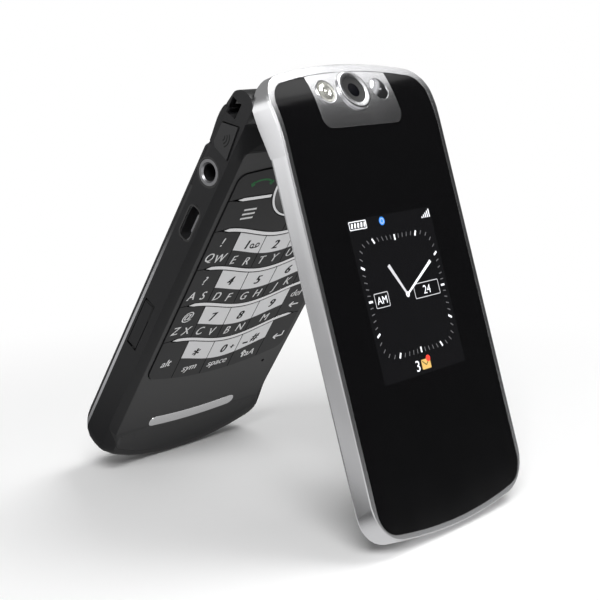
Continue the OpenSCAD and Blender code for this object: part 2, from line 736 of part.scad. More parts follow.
module usb_port() color([0.72, 0.72, 0.74]) {
    outer = body_w / 2;
    difference() {
        capsule_x(-outer + 0.2, -outer + usb_depth + 1, usb_s, usb_z, usb_w + 2 * usb_wall,
                  usb_h + 2 * usb_wall);
        capsule_x(-outer - 1, -outer + usb_depth, usb_s, usb_z, usb_w, usb_h);
    }
    // Contact tongue
    block(-outer + 1.2, -outer + usb_depth + eps, usb_s - usb_w / 2 + 1.8,
          usb_s + usb_w / 2 - 1.8, usb_z + 0.2, usb_z + 0.8);
}

module card_slot() color([0.6, 0.6, 0.62]) difference() {
    block(-body_w / 2 + 2, -body_w / 2 + card_l + 3.6, door_s - card_w / 2 - 0.6,
          door_s + card_w / 2 + 0.6, card_z - slot_h / 2 + fit_gap, board_bottom - fit_gap);
    block(-body_w / 2, -body_w / 2 + card_l + 3, door_s - card_w / 2 - 0.05,
          door_s + card_w / 2 + 0.05, card_z - card_t / 2 - 0.05, card_z + card_t / 2 + 0.05);
}

module memory_card() color([0.1, 0.1, 0.1]) difference() {
    block(-body_w / 2 + 1.9, -body_w / 2 + 1.9 + card_l, door_s - card_w / 2,
          door_s + card_w / 2, card_z - card_t / 2, card_z + card_t / 2);
    // Notch in one edge
    block(-body_w / 2 + 9, -body_w / 2 + 11.5, door_s + card_w / 2 - 0.7, door_s + card_w, -9, 9);
}

door_pivot = [-body_w / 2 + door_t / 2, -door_s - door_len / 2 + door_t / 2];

module card_door() color([0.12, 0.12, 0.125]) difference() {
    union() {
        block(-body_w / 2, -body_w / 2 + door_t, door_s - door_len / 2,
              door_s + door_len / 2 - door_t / 2, door_z - door_h / 2, door_z + door_h / 2);
        translate([door_pivot[0], door_pivot[1], door_z - door_h / 2])
            cylinder(d = door_t, h = door_h);
    }
    // Finger notch
    translate([-body_w / 2, -door_s + door_len / 2, door_z])
        rotate([0, 0, 45]) cube([1, 1, 2 * door_h], center = true);
}

module loudspeaker() color([0.3, 0.3, 0.32])
    block(-speaker_w / 2, speaker_w / 2, speaker_s, speaker_s + speaker_h, frame_bottom, 0.35);

// ---- Hinge ----------------------------------------------------------------------------

module hinge_cam() color([0.65, 0.65, 0.67]) {
    along_x(2.4, barrel_w / 2 - 0.1, barrel_bore / 2 - fit_gap);
    along_x(barrel_w / 2 - 0.2, barrel_w / 2 + 5.2, cam_shaft / 2);
}

module hinge_bush() color([0.65, 0.65, 0.67]) difference() {
    union() {
        along_x(-barrel_w / 2 + 0.1, -6, barrel_bore / 2 - fit_gap);
        along_x(-barrel_w / 2 - 4, -barrel_w / 2 + 0.2, bush_nose / 2);
    }
    along_x(-barrel_w, 0, 1.2);
}

// ---- Lid: outer form ------------------------------------------------------------------

// Drop of the lid's outer face at a distance s from the hinge axis
function bend_drop(s) = s > bend_start ? 0 : bend_r - sqrt(bend_r * bend_r - pow(bend_start - s, 2));

shroud_low = barrel_r + 0.2;
shroud_r = barrel_r + 0.35;
lid_foot = lid_in + 0.4;
low_in = 0.3;      // inset of the lid's lower edge

// The outer face as points of the profile, d below it
function face_line(d) =
    concat([for (i = [0 : 12]) let (s = -lid_tail - 1 + (bend_start + lid_tail + 1) * i / 12)
               [-s, lid_out - bend_drop(s) - d]],
           [[-lid_len - 1, lid_out - d]]);

// Lid's profile: flat inner face, a skirt round the barrel and ears, and the bent outer face
lid_profile =
    concat([[-lid_len - 1, lid_in], [-4, lid_in], [-2.6, shroud_low]],
           let (a = asin(shroud_low / shroud_r)) arc([0, 0], shroud_r, 180 - a, a, 4),
           [[lid_tail - 0.4, shroud_low],
            [lid_tail + 1, lid_out - bend_drop(-lid_tail - 1) - 0.5]],
           face_line(0));

// Slices are [height, inset, corner radius]; the side faces lean in towards the outer face,
// and the corners at the free end get rounder there
lid_slices = [[shroud_low - 0.1, low_in, lid_corner_r], [lid_foot, 0, lid_corner_r],
              [lid_out - 0.3, 0.45, lid_corner_r + 1.4], [lid_out, 0.7, lid_corner_r + 1.4]];

module lid_body() {
    intersection() {
        hull() for (k = lid_slices) slice(lid_outline(0, k[1], k[2]), k[0]);
        across(-body_w / 2, body_w / 2, lid_profile);
    }
}

// ---- Lid: outside ---------------------------------------------------------------------

module lid_frame() color([0.78, 0.78, 0.8]) difference() {
    lid_body();
    plate(lid_outline(bezel_w), -9, 20);
}

// Outline of the camera plate, round at its two lower corners
function plate_outline(grow) =
    let (h = plate_w / 2 + grow, r = 2.5, low = -plate_s - grow)
    concat(arc([h - r, low + r], r, -90, 0, 6), [[h, lid_tail + 3], [-h, lid_tail + 3]],
           arc([-h + r, low + r], r, 180, 270, 6));

// A layer under the outer face, from depth d0 to depth d1
module face_layer(d0, d1) {
    line = face_line(d1);
    across(-body_w / 2, body_w / 2,
           concat(face_line(d0), [for (i = [len(line) - 1 : -1 : 0]) line[i]]));
}

module lid_window() color([0.02, 0.02, 0.022]) difference() {
    intersection() {
        face_layer(0.1, 0.1 + window_t);
        plate(lid_outline(bezel_w + fit_gap), lid_in, lid_out + 1);
    }
    plate(plate_outline(fit_gap), -1, 20);
}

cam_s = -0.2;
cam_tilt = asin((bend_start - cam_s) / bend_r);

// Children stand on the camera plate at x, with Z square to its face
module on_plate(x) {
    translate([x, -cam_s, lid_out - bend_drop(cam_s)]) rotate([-cam_tilt, 0, 0]) children();
}

module camera_plate() color([0.75, 0.75, 0.77]) difference() {
    intersection() {
        face_layer(0.02, 0.1 + window_t);
        plate(plate_outline(0), lid_in, lid_out + 1);
        plate(lid_outline(bezel_w + fit_gap), lid_in, lid_out + 1);
    }
    on_plate(0) cylinder(d = lens_ring_d + 2 * fit_gap, h = 8, center = true);
    on_plate(-lens_pitch) cylinder(d = flash_d + 2 * fit_gap, h = 8, center = true);
    on_plate(lens_pitch) cylinder(d = mirror_d + 2 * fit_gap, h = 8, center = true);
}

// Narrow lower end of the camera module, which reaches into a pocket of the inner cover
module camera_barrel(grow = 0) {
    on_plate(0) translate([0, 0, -2.1 - grow]) cylinder(d = lens_ring_d - 2.4 + 2 * grow, h = 2);
}

module camera_module() color([0.1, 0.1, 0.1]) difference() {
    union() {
        on_plate(0) translate([0, 0, -0.9]) cylinder(d = lens_ring_d, h = 1.15);
        camera_barrel();
    }
    on_plate(0) translate([0, 0, -0.45]) cylinder(d = lens_d + 2 * fit_gap, h = 1);
    on_plate(0) translate([0, 0, -1.6]) cylinder(d = 2.4, h = 2);
}

module camera_lens() color([0.15, 0.17, 0.25, 0.6])
    on_plate(0) translate([0, 0, -0.43]) cylinder(d = lens_d, h = 0.5);

module flash_lens() color([0.95, 0.95, 0.85, 0.7])
    on_plate(-lens_pitch) translate([0, 0, -1]) cylinder(d = flash_d, h = 1.1);

module portrait_mirror() color([0.9, 0.9, 0.92])
    on_plate(lens_pitch) intersection() {
        translate([0, 0, -1]) cylinder(d = mirror_d, h = 2);
        translate([0, 0, -9.85]) sphere(r = 10, $fn = 96);
    }

// ---- Lid: inside ----------------------------------------------------------------------

window_bottom = lid_out - 0.1 - window_t;
inner_window_t = 0.5;
inner_window_half = body_w / 2 - 4.8;
inner_window_s = [bend_start + 2.5, lid_len - 12.4];
inner_display_half = inner_window_half - 0.6;
inner_display_s = [inner_window_s[0] + 3.5, inner_window_s[1] - 6];
inner_top = lid_in + inner_t;
display_t = 1.15;
outer_display_t = 0.55;
lid_board_side = 4.5;      // side face to the board

module outer_display() color([0.1, 0.1, 0.12])
    block(-outer_display_w / 2, outer_display_w / 2, outer_display_s,
          outer_display_s + outer_display_h, window_bottom - outer_display_t,
          window_bottom - 0.02);

module lid_board() color([0.05, 0.3, 0.16])
    block(-body_w / 2 + lid_board_side, body_w / 2 - lid_board_side, bend_start + 3,
          lid_len - 2 * lid_board_side, lid_in + inner_window_t + display_t + 0.12,
          window_bottom - outer_display_t - 0.04);

module inner_display() color([0.12, 0.13, 0.16])
    block(-inner_display_half, inner_display_half, inner_display_s[0], inner_display_s[1],
          lid_in + inner_window_t + 0.05, lid_in + inner_window_t + display_t);

module inner_window() color([0.02, 0.02, 0.022])
    plate(outline(2 * inner_window_half, inner_window_s[0], inner_window_s[1], 110, 2.5, 300,
                  2.5), lid_in + 0.05, lid_in + inner_window_t);

module inner_cover() color([0.09, 0.09, 0.095]) difference() {
    union() {
        intersection() {
            across(-body_w / 2, body_w / 2, lid_profile);
            plate(lid_outline(bezel_w + fit_gap), -9, inner_top);
        }
        // Barrel and the web that joins it to the cover
        along_x(-barrel_w / 2, barrel_w / 2, barrel_r);
        across(-barrel_w / 2, barrel_w / 2, [[-2.4, 2], [2.8, 2], [3.2, lid_in + 0.1],
                                             [-3.2, lid_in + 0.1]]);
    }
    along_x(2.2, barrel_w / 2 + 1, barrel_bore / 2);
    along_x(-barrel_w / 2 - 1, -5.8, barrel_bore / 2);
    plate(outline(2 * inner_window_half, inner_window_s[0], inner_window_s[1], 110, 2.5, 300,
                  2.5, -fit_gap), lid_in - 1, lid_in + inner_window_t + 0.02);
    block(-inner_display_half - 0.1, inner_display_half + 0.1, inner_display_s[0] - 0.1,
          inner_display_s[1] + 0.1, lid_in, inner_top + 1);
    // Room for the window's bent end and for the camera
    face_layer(-0.5, 0.1 + window_t + fit_gap);
    camera_barrel(fit_gap);
    // Earpiece slot
    block(-4.5, 4.5, 7, 8.3, lid_in - 2, inner_top + 1);
}

module earpiece() color([0.3, 0.3, 0.32])
    block(-6, 6, 5, 10.4, inner_top + fit_gap, inner_top + 1.1);

// ---- Stance ---------------------------------------------------------------------------

// Each half touches the ground along one edge: the lid at the inner edge of its free end,
// the base at the front edge of its chin
chin_foot = chin_slices[1];
lid_end = lid_len - low_in * (lid_foot - lid_in) / (lid_foot - shroud_low);
lid_lean = atan((lid_end - (base_len - chin_foot[2]) * cos(open_angle)
                 - chin_foot[0] * sin(open_angle))
              / (lid_in + (base_len - chin_foot[2]) * sin(open_angle)
                 - chin_foot[0] * cos(open_angle)));
base_lean = open_angle - lid_lean;

hinge_z = lid_end * cos(lid_lean) - lid_in * sin(lid_lean);
lid_reach = max([for (k = lid_slices) (lid_len - k[1]) * sin(lid_lean) + k[0] * cos(lid_lean)]);
base_reach = max([for (k = concat(frame_slices, trim_slices, cover_slices))
                     (base_len - k[2]) * sin(base_lean) - k[0] * cos(base_lean)]);
hinge_y = (lid_reach - base_reach) / 2;

module in_base() {
    translate([0, hinge_y, hinge_z]) rotate([90 + base_lean, 0, 0]) children();
}

module in_lid() {
    translate([0, hinge_y, hinge_z]) rotate([90 - lid_lean, 0, 0]) children();
}

in_base() base_frame();
in_base() front_panel();
in_base() key_frets();
in_base() chin_bar();
in_base() side_trim();
in_base() battery_cover();
in_base() battery();
in_base() sim_card();
in_base() main_board();
in_base() trackball_socket();
in_base() trackball();
in_base() headset_jack();
in_base() usb_port();
in_base() card_slot();
in_base() memory_card();
in_base() card_door();
in_base() loudspeaker();
in_base() key_send();
in_base() key_menu();
in_base() key_escape();
in_base() key_end();
for (row = [0 : 3], col = [0 : 4])
    in_base() color([0.15, 0.15, 0.155]) keycap(row, col);
in_base() side_key_left();
in_base() side_key_right();
in_base() volume_rocker();
in_lid() hinge_cam();
in_lid() hinge_bush();
in_lid() lid_frame();
in_lid() lid_window();
in_lid() camera_plate();
in_lid() camera_module();
in_lid() camera_lens();
in_lid() flash_lens();
in_lid() portrait_mirror();
in_lid() outer_display();
in_lid() lid_board();
in_lid() inner_cover();
in_lid() inner_window();
in_lid() inner_display();
in_lid() earpiece();
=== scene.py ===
# %% [markdown]
# # A flip phone standing like a tent
# The phone's solids come ready-made from its CAD model. This lesson dresses them: it gives
# every surface a finish, plates and prints the keypad, draws the small clock in the lid's
# window and lights the phone as on a studio table. Everything is in metres and in the CAD
# model's own frame, so nothing has to be fitted by eye.

# %% Load the phone
import json
import math

import bpy
from mathutils import Matrix, Vector

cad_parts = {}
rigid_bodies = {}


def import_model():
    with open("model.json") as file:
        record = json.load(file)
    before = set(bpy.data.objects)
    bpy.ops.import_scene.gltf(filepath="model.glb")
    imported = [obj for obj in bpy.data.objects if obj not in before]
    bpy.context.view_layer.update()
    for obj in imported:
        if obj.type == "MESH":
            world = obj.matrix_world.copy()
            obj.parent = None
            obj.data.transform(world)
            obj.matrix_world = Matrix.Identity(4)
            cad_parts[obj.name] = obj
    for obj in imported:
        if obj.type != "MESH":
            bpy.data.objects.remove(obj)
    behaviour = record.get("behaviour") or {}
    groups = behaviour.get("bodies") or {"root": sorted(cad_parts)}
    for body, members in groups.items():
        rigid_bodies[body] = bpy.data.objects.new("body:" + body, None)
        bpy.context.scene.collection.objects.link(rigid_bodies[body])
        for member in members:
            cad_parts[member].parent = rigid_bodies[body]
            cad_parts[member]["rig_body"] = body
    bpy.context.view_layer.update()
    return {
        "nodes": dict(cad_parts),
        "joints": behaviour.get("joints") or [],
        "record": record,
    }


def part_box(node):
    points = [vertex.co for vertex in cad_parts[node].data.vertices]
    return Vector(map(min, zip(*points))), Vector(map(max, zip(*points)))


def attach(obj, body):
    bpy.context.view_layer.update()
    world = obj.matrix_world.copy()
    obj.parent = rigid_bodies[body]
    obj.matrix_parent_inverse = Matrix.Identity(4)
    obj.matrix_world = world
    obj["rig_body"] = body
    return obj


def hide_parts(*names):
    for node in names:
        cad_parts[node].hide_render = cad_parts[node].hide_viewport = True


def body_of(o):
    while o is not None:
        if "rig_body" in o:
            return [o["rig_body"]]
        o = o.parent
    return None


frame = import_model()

nodes = frame["nodes"]
joints = {joint["name"]: joint for joint in frame["joints"]}
MM = 0.001

# %% [markdown]
# ## Two leaning halves
# Both halves of the phone lean, so a place on the keypad is awkward to write in the room's
# own X, Y and Z. We could type in angles, but the joints already know them: the keys press
# along the base's depth, and the lid's mount faces along the lid's. From them we build one
# matrix for each half. A place is then x across, s down from the hinge and z towards the
# front, all in millimetres.

# %% Frames of the base and the lid
hinge = Vector(joints["lid_hinge"]["pos_m"])
base_front = -Vector(joints["key_qw_press"]["axis"])
lid_front = Vector(next(m["axis"] for m in frame["record"]["mounts"] if m["name"] == "lid_face"))


def half_matrix(front):
    """Turns (x, -s, z) in millimetres into a place in the room, in metres."""
    front = front.normalized()
    across = Vector((1, 0, 0))
    turn = Matrix((across, front.cross(across), front)).transposed().to_4x4()
    return Matrix.Translation(hinge) @ turn @ Matrix.Scale(MM, 4)


base_at = half_matrix(base_front)
lid_at = half_matrix(lid_front)
# A side face seen square on: across it runs z, down it runs s, and out of it runs -x
side_view = Matrix(((0, 0, -1, 0), (0, 1, 0, 0), (1, 0, 0, 0), (0, 0, 0, 1)))
print("base front faces", [round(v, 3) for v in base_front])

# %% [markdown]
# ## A small language for shader maths
# Patterns are easier to read as sums than as boxes and wires. Wire wraps one output of a
# node, and every operator on it adds the Math node that does the sum. Finish owns one tree
# of nodes, and its node method adds any other node.

# %% Wires
class Wire:
    """One output of a node that can be used in a sum."""

    def __init__(self, finish, socket):
        self.finish, self.socket = finish, socket

    def maths(self, operation, *others):
        return self.finish.node("Math", {"operation": operation}, dict(enumerate((self, *others))))

    def __add__(self, other):
        return self.maths("ADD", other)

    def __sub__(self, other):
        return self.maths("SUBTRACT", other)

    def __rsub__(self, other):
        return self.finish.node("Math", {"operation": "SUBTRACT"}, {0: other, 1: self})

    def __mul__(self, other):
        return self.maths("MULTIPLY", other)

    __radd__, __rmul__ = __add__, __mul__

    def between(self, low, high):
        """0 below low, 1 above high and a soft step in between."""
        return self.finish.node("MapRange", {"interpolation_type": "SMOOTHSTEP"},
                                {"Value": self, "From Min": low, "From Max": high})


# %% Trees of nodes
class Finish:
    """A tree of nodes: that of a new material, or one that is given."""

    def __init__(self, name, tree=None, **sockets):
        if tree is None:
            self.material = bpy.data.materials.new(name)
            self.material.use_nodes = True
            tree = self.material.node_tree
            self.shader = tree.nodes["Principled BSDF"]
        self.tree = tree
        self.set(**sockets)

    def put(self, socket, value):
        if isinstance(value, Wire):
            self.tree.links.new(value.socket, socket)
        elif socket.type == "RGBA" and len(value) == 3:
            socket.default_value = (*value, 1)
        else:
            socket.default_value = value

    def node(self, kind, settings=(), sockets=(), out=0):
        """Adds a node with its settings, then the values or wires of its sockets."""
        made = self.tree.nodes.new("ShaderNode" + kind)
        for name, value in dict(settings).items():
            setattr(made, name, value)
        for name, value in dict(sockets).items():
            self.put(made.inputs[name], value)
        return Wire(self, made.outputs[out])

    def set(self, **sockets):
        for name, value in sockets.items():
            self.put(self.shader.inputs[name.replace("_", " ")], value)
        return self

    def place(self):
        return self.node("TexCoord", out="Object")

    def noise(self, cells_per_mm, detail=2, stretch=(1, 1, 1)):
        """Soft random pattern that has that many cells in a millimetre."""
        spot = self.node("Mapping", {}, {"Vector": self.place(), "Scale": stretch})
        return self.node("TexNoise", {}, {"Vector": spot, "Scale": cells_per_mm / MM,
                                          "Detail": detail}, "Fac")

    def mix(self, share, first, second):
        """Blends two colours."""
        return self.node("Mix", {"data_type": "RGBA"}, {0: share, 6: first, 7: second}, 2)

    def bump(self, height, depth_mm, strength=1):
        return self.set(Normal=self.node("Bump", {}, {"Height": height, "Strength": strength,
                                                      "Distance": depth_mm * MM}))


# %% [markdown]
# ## Finishes
# A moulded or painted part is never one flat colour. Each finish starts from its colour and
# adds what the eye expects at close range: a fine grain that breaks up the shine, and a
# slow change of tone over the part. The dark plastics are nearly black and get their grey
# from what they mirror, as real ones do, and the silver ones are paint with metal flakes,
# so they are darker than solid metal.

# %% Moulded and painted finishes
TONE_CELLS = 0.12                   # slow change of tone, cells in a millimetre
TONE_SHARE, GRAIN_SHARE = 0.06, 0.05    # how much each pattern changes the roughness


def grained(name, colour, roughness, grain_mm=0.12, depth_mm=0.003, spread=0.12, **sockets):
    """Plastic or paint with a fine grain and a slow change of tone."""
    finish = Finish(name, **sockets)
    tone = finish.noise(TONE_CELLS, 3)
    light = [min(1, c * (1 + spread)) for c in colour]
    dark = [c * (1 - spread) for c in colour]
    grain = finish.noise(1 / grain_mm, 3)
    finish.set(Base_Color=finish.mix(tone, dark, light),
               Roughness=tone * TONE_SHARE + grain * GRAIN_SHARE + (roughness - 0.05))
    finish.bump(grain, depth_mm)
    return finish


def printed(name, colour, glow=0.0):
    """Ink, or a lit part of a display where it glows. A glow on ink is painted light."""
    return grained(name, colour, 0.5, 0.1, 0.0005, 0.05, Specular_IOR_Level=0.2,
                   Emission_Color=(*colour, 1), Emission_Strength=glow)


# %% [markdown]
# ## The phone's finishes
# The list below is the phone's colour card. The names follow the material slots of the CAD
# model where there is one, so that each solid finds its finish by itself. We could give
# every node a material of its own, but then two parts from one mould could drift apart.

# %% Colour card
finishes = {
    "base_shell": grained("base_shell", (0.007, 0.007, 0.008), 0.34, Specular_IOR_Level=0.36),
    "panel": grained("panel", (0.022, 0.022, 0.023), 0.34, Specular_IOR_Level=0.35),
    "back_cover": grained("back_cover", (0.014, 0.014, 0.015), 0.52, 0.2, 0.010),
    "bright_bar": grained("bright_bar", (0.85, 0.85, 0.86), 0.24, 0.1, 0.001, 0.04, Metallic=1),
    "satin_silver": grained("satin_silver", (0.80, 0.80, 0.815), 0.24, 0.05, 0.0008, 0.04,
                            Metallic=1),
    "key": grained("key", (0.012, 0.012, 0.013), 0.30, 0.3, 0.003, Specular_IOR_Level=0.2),
    "side_key": grained("side_key", (0.016, 0.016, 0.017), 0.38),
    "ball": grained("ball", (0.75, 0.76, 0.79), 0.12, 0.5, 0.001, 0.05, Coat_Weight=0.6),
    "black_gloss": grained("black_gloss", (0.003, 0.003, 0.0034), 0.10, 0.5, 0.0002),
    "socket_steel": grained("socket_steel", (0.30, 0.30, 0.31), 0.34, 0.1, 0.001, 0.1,
                            Metallic=1),
    "lens": grained("lens", (0.002, 0.002, 0.004), 0.08, 0.5, 0.0002, Specular_IOR_Level=0.12),
    "flash": grained("flash", (0.72, 0.72, 0.66), 0.16, 0.3, 0.003, Metallic=0.7),
    "mirror": grained("mirror", (0.55, 0.55, 0.57), 0.14, 0.5, 0.0002, 0.02, Metallic=1),
    "display": grained("display", (0.008, 0.009, 0.010), 0.12, 0.5, 0.0004),
    "board": grained("board", (0.010, 0.09, 0.04), 0.35, 0.3, 0.01),
    "battery_can": grained("battery_can", (0.25, 0.26, 0.28), 0.40, 0.2, 0.004),
    "card": grained("card", (0.02, 0.02, 0.02), 0.50),
    "contact_card": grained("contact_card", (0.80, 0.80, 0.76), 0.50),
    "number_plate": grained("number_plate", (0.80, 0.80, 0.81), 0.30, 0.1, 0.001, 0.04,
                            Metallic=0.85),
    # White and green ink get a faint glow of their own: painted light, since ink gives none.
    "white_ink_painted_glow": printed("white_ink_painted_glow", (0.80, 0.80, 0.80), 0.12),
    "black_ink": printed("black_ink", (0.010, 0.010, 0.010)),
    "green_ink_painted_glow": printed("green_ink_painted_glow", (0.02, 0.17, 0.05), 0.05),
    "display_dark": grained("display_dark", (0.0035, 0.0035, 0.004), 0.14, 0.3, 0.0002,
                            Emission_Color=(0.004, 0.004, 0.0045, 1), Emission_Strength=1),
    "display_white": printed("display_white", (0.80, 0.81, 0.84), 0.6),
    "display_soft": printed("display_soft", (0.52, 0.52, 0.54), 0.5),
    "display_grey": printed("display_grey", (0.10, 0.10, 0.105), 0.6),
    "display_blue": printed("display_blue", (0.03, 0.22, 0.75), 0.6),
    "display_yellow": printed("display_yellow", (0.62, 0.40, 0.12), 0.5),
    "display_red": printed("display_red", (0.75, 0.05, 0.03), 0.6),
}
print("finishes:", len(finishes))

# %% [markdown]
# The silver trim along the base has the black housing's colour near the hinge and turns
# silver farther down. The change runs down the base, so the shader needs s: the distance of
# a point from the hinge along the base, which is a dot product with the base's own down
# direction.

# %% Fading trim
FADE_START_MM, FADE_END_MM = 30, 62     # below the hinge
down = -(base_at.to_3x3() @ Vector((0, 1, 0))).normalized()
trim = finishes["side_trim"] = Finish("side_trim", Roughness=0.3)
along = trim.node("VectorMath", {"operation": "DOT_PRODUCT"}, {0: trim.place(), 1: down}, "Value")
silver_share = (along - hinge.dot(down)).between(FADE_START_MM * MM, FADE_END_MM * MM)
grain = trim.noise(12, 3)
trim.set(Base_Color=trim.mix(silver_share, (0.016, 0.016, 0.017), (0.78, 0.78, 0.80)),
         Metallic=silver_share, Roughness=0.25 + grain * 0.08)
trim.bump(grain, 0.001)


# %% Painting the solids
def paint(piece, finish):
    """The one finish that a piece has."""
    piece.data.materials.clear()
    piece.data.materials.append(finishes[finish].material)


for part in frame["record"]["subparts"]:
    paint(nodes[part["node"]], part["material_slot"])
paint(nodes["camera_module"], "satin_silver")
paint(nodes["key_frets"], "bright_bar")

# %% [markdown]
# ## Thin plates
# A metallised field on a key, a tick of a clock and a sign on a button are all plates with
# an outline. Each one starts as a filled circle with a corner for every point of its
# outline. The corners are moved to their places and the face is extruded to its thickness.
# A frame is the same plate with its face inset and the middle taken out first.

# %% Tools for plates
def deselect():
    """Operators act on all that is selected, so each job starts with nothing selected."""
    bpy.ops.object.select_all(action="DESELECT")


def modify(piece, kind, **settings):
    """Adds a modifier and applies it."""
    change = piece.modifiers.new(kind.lower(), kind)
    for name, value in settings.items():
        setattr(change, name, value)
    deselect()
    piece.select_set(True)
    bpy.context.view_layer.objects.active = piece
    bpy.ops.object.modifier_apply(modifier=change.name)


def plate(name, outline, low, high, bevel=0, frame_width=0):
    """Plate between two heights whose edge runs through the (x, s) places of the outline."""
    deselect()
    bpy.ops.mesh.primitive_circle_add(vertices=len(outline), fill_type="NGON")
    piece = bpy.context.active_object
    piece.name = name
    for vertex, (x, s) in zip(piece.data.vertices, outline):
        vertex.co = (x, -s, low)
    bpy.ops.object.mode_set(mode="EDIT")
    bpy.ops.mesh.select_all(action="SELECT")
    if frame_width:
        bpy.ops.mesh.inset(thickness=frame_width)
        bpy.ops.mesh.delete(type="FACE")
        bpy.ops.mesh.select_all(action="SELECT")
    bpy.ops.mesh.extrude_region_move(TRANSFORM_OT_translate={"value": (0, 0, high - low)})
    bpy.ops.mesh.select_all(action="SELECT")
    bpy.ops.mesh.normals_make_consistent(inside=False)
    bpy.ops.object.mode_set(mode="OBJECT")
    if bevel:
        modify(piece, "BEVEL", width=bevel, segments=2)
    return piece


# %% [markdown]
# Strokes of one sign are joined into a single piece, and what repeats is modelled once and
# copied. A piece is modelled flat, in millimetres, where it is easy to think about. At the
# end one matrix carries its mesh to its place on the leaning phone, and its object stays at
# the origin, so that patterns don't slide on it.

# %% Copying, joining and fitting
def copies(piece, places):
    """The same piece at several places, each copy with its own mesh."""
    made = []
    for place in places:
        twin = piece.copy()
        twin.data = piece.data.copy()
        twin.data.transform(place)
        bpy.context.collection.objects.link(twin)
        made.append(twin)
    bpy.data.objects.remove(piece)
    return made


def joined(name, pieces):
    """Several pieces as one."""
    deselect()
    for piece in pieces:
        piece.select_set(True)
    bpy.context.view_layer.objects.active = pieces[0]
    if len(pieces) > 1:
        bpy.ops.object.join()
    pieces[0].name = name
    return pieces[0]


def fitted(piece, place, body, finish):
    """Puts a piece that was modelled in millimetres in its place and hands it to its body."""
    piece.data.transform(place)
    piece.data.update()
    paint(piece, finish)
    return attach(piece, body)


# %% [markdown]
# Most outlines on the phone are one of three kinds: a rectangle with round corners, a bent
# stroke of even width, and a straight stroke that may taper. A short formula gives each of
# them, which is easier to change later than a list of points.

# %% Outlines
def rounded(x0, x1, s0, s1, radius, steps=4):
    """Outline of a rectangle with round corners."""
    corners = ((x1 - radius, s1 - radius, 0), (x0 + radius, s1 - radius, 90),
               (x0 + radius, s0 + radius, 180), (x1 - radius, s0 + radius, 270))
    return [(x + radius * math.cos(math.radians(start + 90 * k / steps)),
             s + radius * math.sin(math.radians(start + 90 * k / steps)))
            for x, s, start in corners for k in range(steps + 1)]


def bow(x, s, radius, width, start, end, steps=12):
    """Outline of a bent stroke. Angles are in degrees, from across towards down."""
    line = [math.radians(start + (end - start) * k / steps) for k in range(steps + 1)]
    outer, inner = radius + width / 2, radius - width / 2
    return ([(x + outer * math.cos(a), s + outer * math.sin(a)) for a in line]
            + [(x + inner * math.cos(a), s + inner * math.sin(a)) for a in reversed(line)])


def stroke(x0, s0, x1, s1, width0, width1=None):
    """Outline of a straight stroke that may taper."""
    along = Vector((x1 - x0, s1 - s0)).normalized()
    side = Vector((-along.y, along.x)) / 2
    w0, w1 = width0, width0 if width1 is None else width1
    return [(x0 + side.x * w0, s0 + side.y * w0), (x1 + side.x * w1, s1 + side.y * w1),
            (x1 - side.x * w1, s1 - side.y * w1), (x0 - side.x * w0, s0 - side.y * w0)]


# %% [markdown]
# ## Smooth curves and soft edges
# The CAD pieces are made of separate triangles, so a curved face shades as a row of flat
# strips and every edge is knife sharp. A real moulding has a small radius on each edge,
# and the thin line of light along it tells the eye how big the thing is. We copy the
# piece, merge its corners, dissolve the flat faces' inner edges, bevel what is left and
# shade it smooth. The copy replaces the CAD piece that it was made from.

# %% Dressed copies
WELD_MM = 0.002         # corners that are closer than this are one corner
# Largest folds that are dissolved, shaded smooth and left without a bevel
FLAT_DEG, SMOOTH_DEG, EDGE_DEG = 0.4, 30, 40


def dressed(name, finish, bevel):
    """A merged, bevelled and smooth copy of a CAD piece, which it replaces."""
    node = nodes[name]
    body = body_of(node)[0]
    piece = node.copy()
    piece.data = node.data.copy()
    piece.name = name + "_dressed"
    bpy.context.collection.objects.link(piece)
    piece.parent = None
    piece.matrix_world = Matrix.Identity(4)
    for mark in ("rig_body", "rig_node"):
        if mark in piece:
            del piece[mark]
    deselect()
    piece.select_set(True)
    bpy.context.view_layer.objects.active = piece
    bpy.ops.object.mode_set(mode="EDIT")
    bpy.ops.mesh.select_all(action="SELECT")
    bpy.ops.mesh.remove_doubles(threshold=WELD_MM * MM)
    bpy.ops.mesh.dissolve_limited(angle_limit=math.radians(FLAT_DEG))
    bpy.ops.mesh.normals_make_consistent(inside=False)
    bpy.ops.object.mode_set(mode="OBJECT")
    if bevel:
        modify(piece, "BEVEL", width=bevel * MM, segments=2, limit_method="ANGLE",
               angle_limit=math.radians(EDGE_DEG))
    bpy.ops.object.shade_smooth_by_angle(angle=math.radians(SMOOTH_DEG))
    modify(piece, "WEIGHTED_NORMAL", keep_sharp=True)
    paint(piece, finish)
    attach(piece, body)
    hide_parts(name)
    return piece


# (node, finish, width of its soft edges in millimetres)
shells = (("lid_frame", "satin_silver", 0.18), ("lid_window", "black_gloss", 0.0),
          ("camera_plate", "satin_silver", 0.06), ("base_frame", "base_shell", 0.15),
          ("front_panel", "panel", 0.10), ("battery_cover", "back_cover", 0.0),
          ("side_trim", "side_trim", 0.0), ("chin_bar", "bright_bar", 0.25),
          ("key_frets", "bright_bar", 0.10))
for name, finish, bevel in shells:
    dressed(name, finish, bevel)
print("dressed copies:", len(shells))

# %% [markdown]
# ## Number fields on the keys
# The middle three columns of keys carry a silver field for the dial numbers. On the real
# phone it is metal film under clear plastic. Its upper edge follows the silver fret above
# the key and its lower edge runs beside it, so both come from the same cosine curve as the
# frets. A small bevel lets the edge catch the light.

# %% Number fields
COLUMN_W, ROW_H = 8.98, 10.3
FIRST_FRET, FRET_SAG, FRET_REACH = 27.8, 3.4, 19    # s of its ends, its sag, half its width
KEY_TOP, PLATE_TOP = 4.35, 4.41
FIELD_GAP, FIELD_START = 0.12, 0.65     # to the key's side, below the fret's middle line
FIELD_END, FIELD_GROWTH = 5.4, 0.15     # and the fields grow from row to row
FIELD_STEPS = 8
NUMBER_KEYS = (("key_er", "key_ty", "key_ui"), ("key_df", "key_gh", "key_jk"),
               ("key_cv", "key_bn", "key_m"), ("key_symbol", "key_space", "key_shift"))


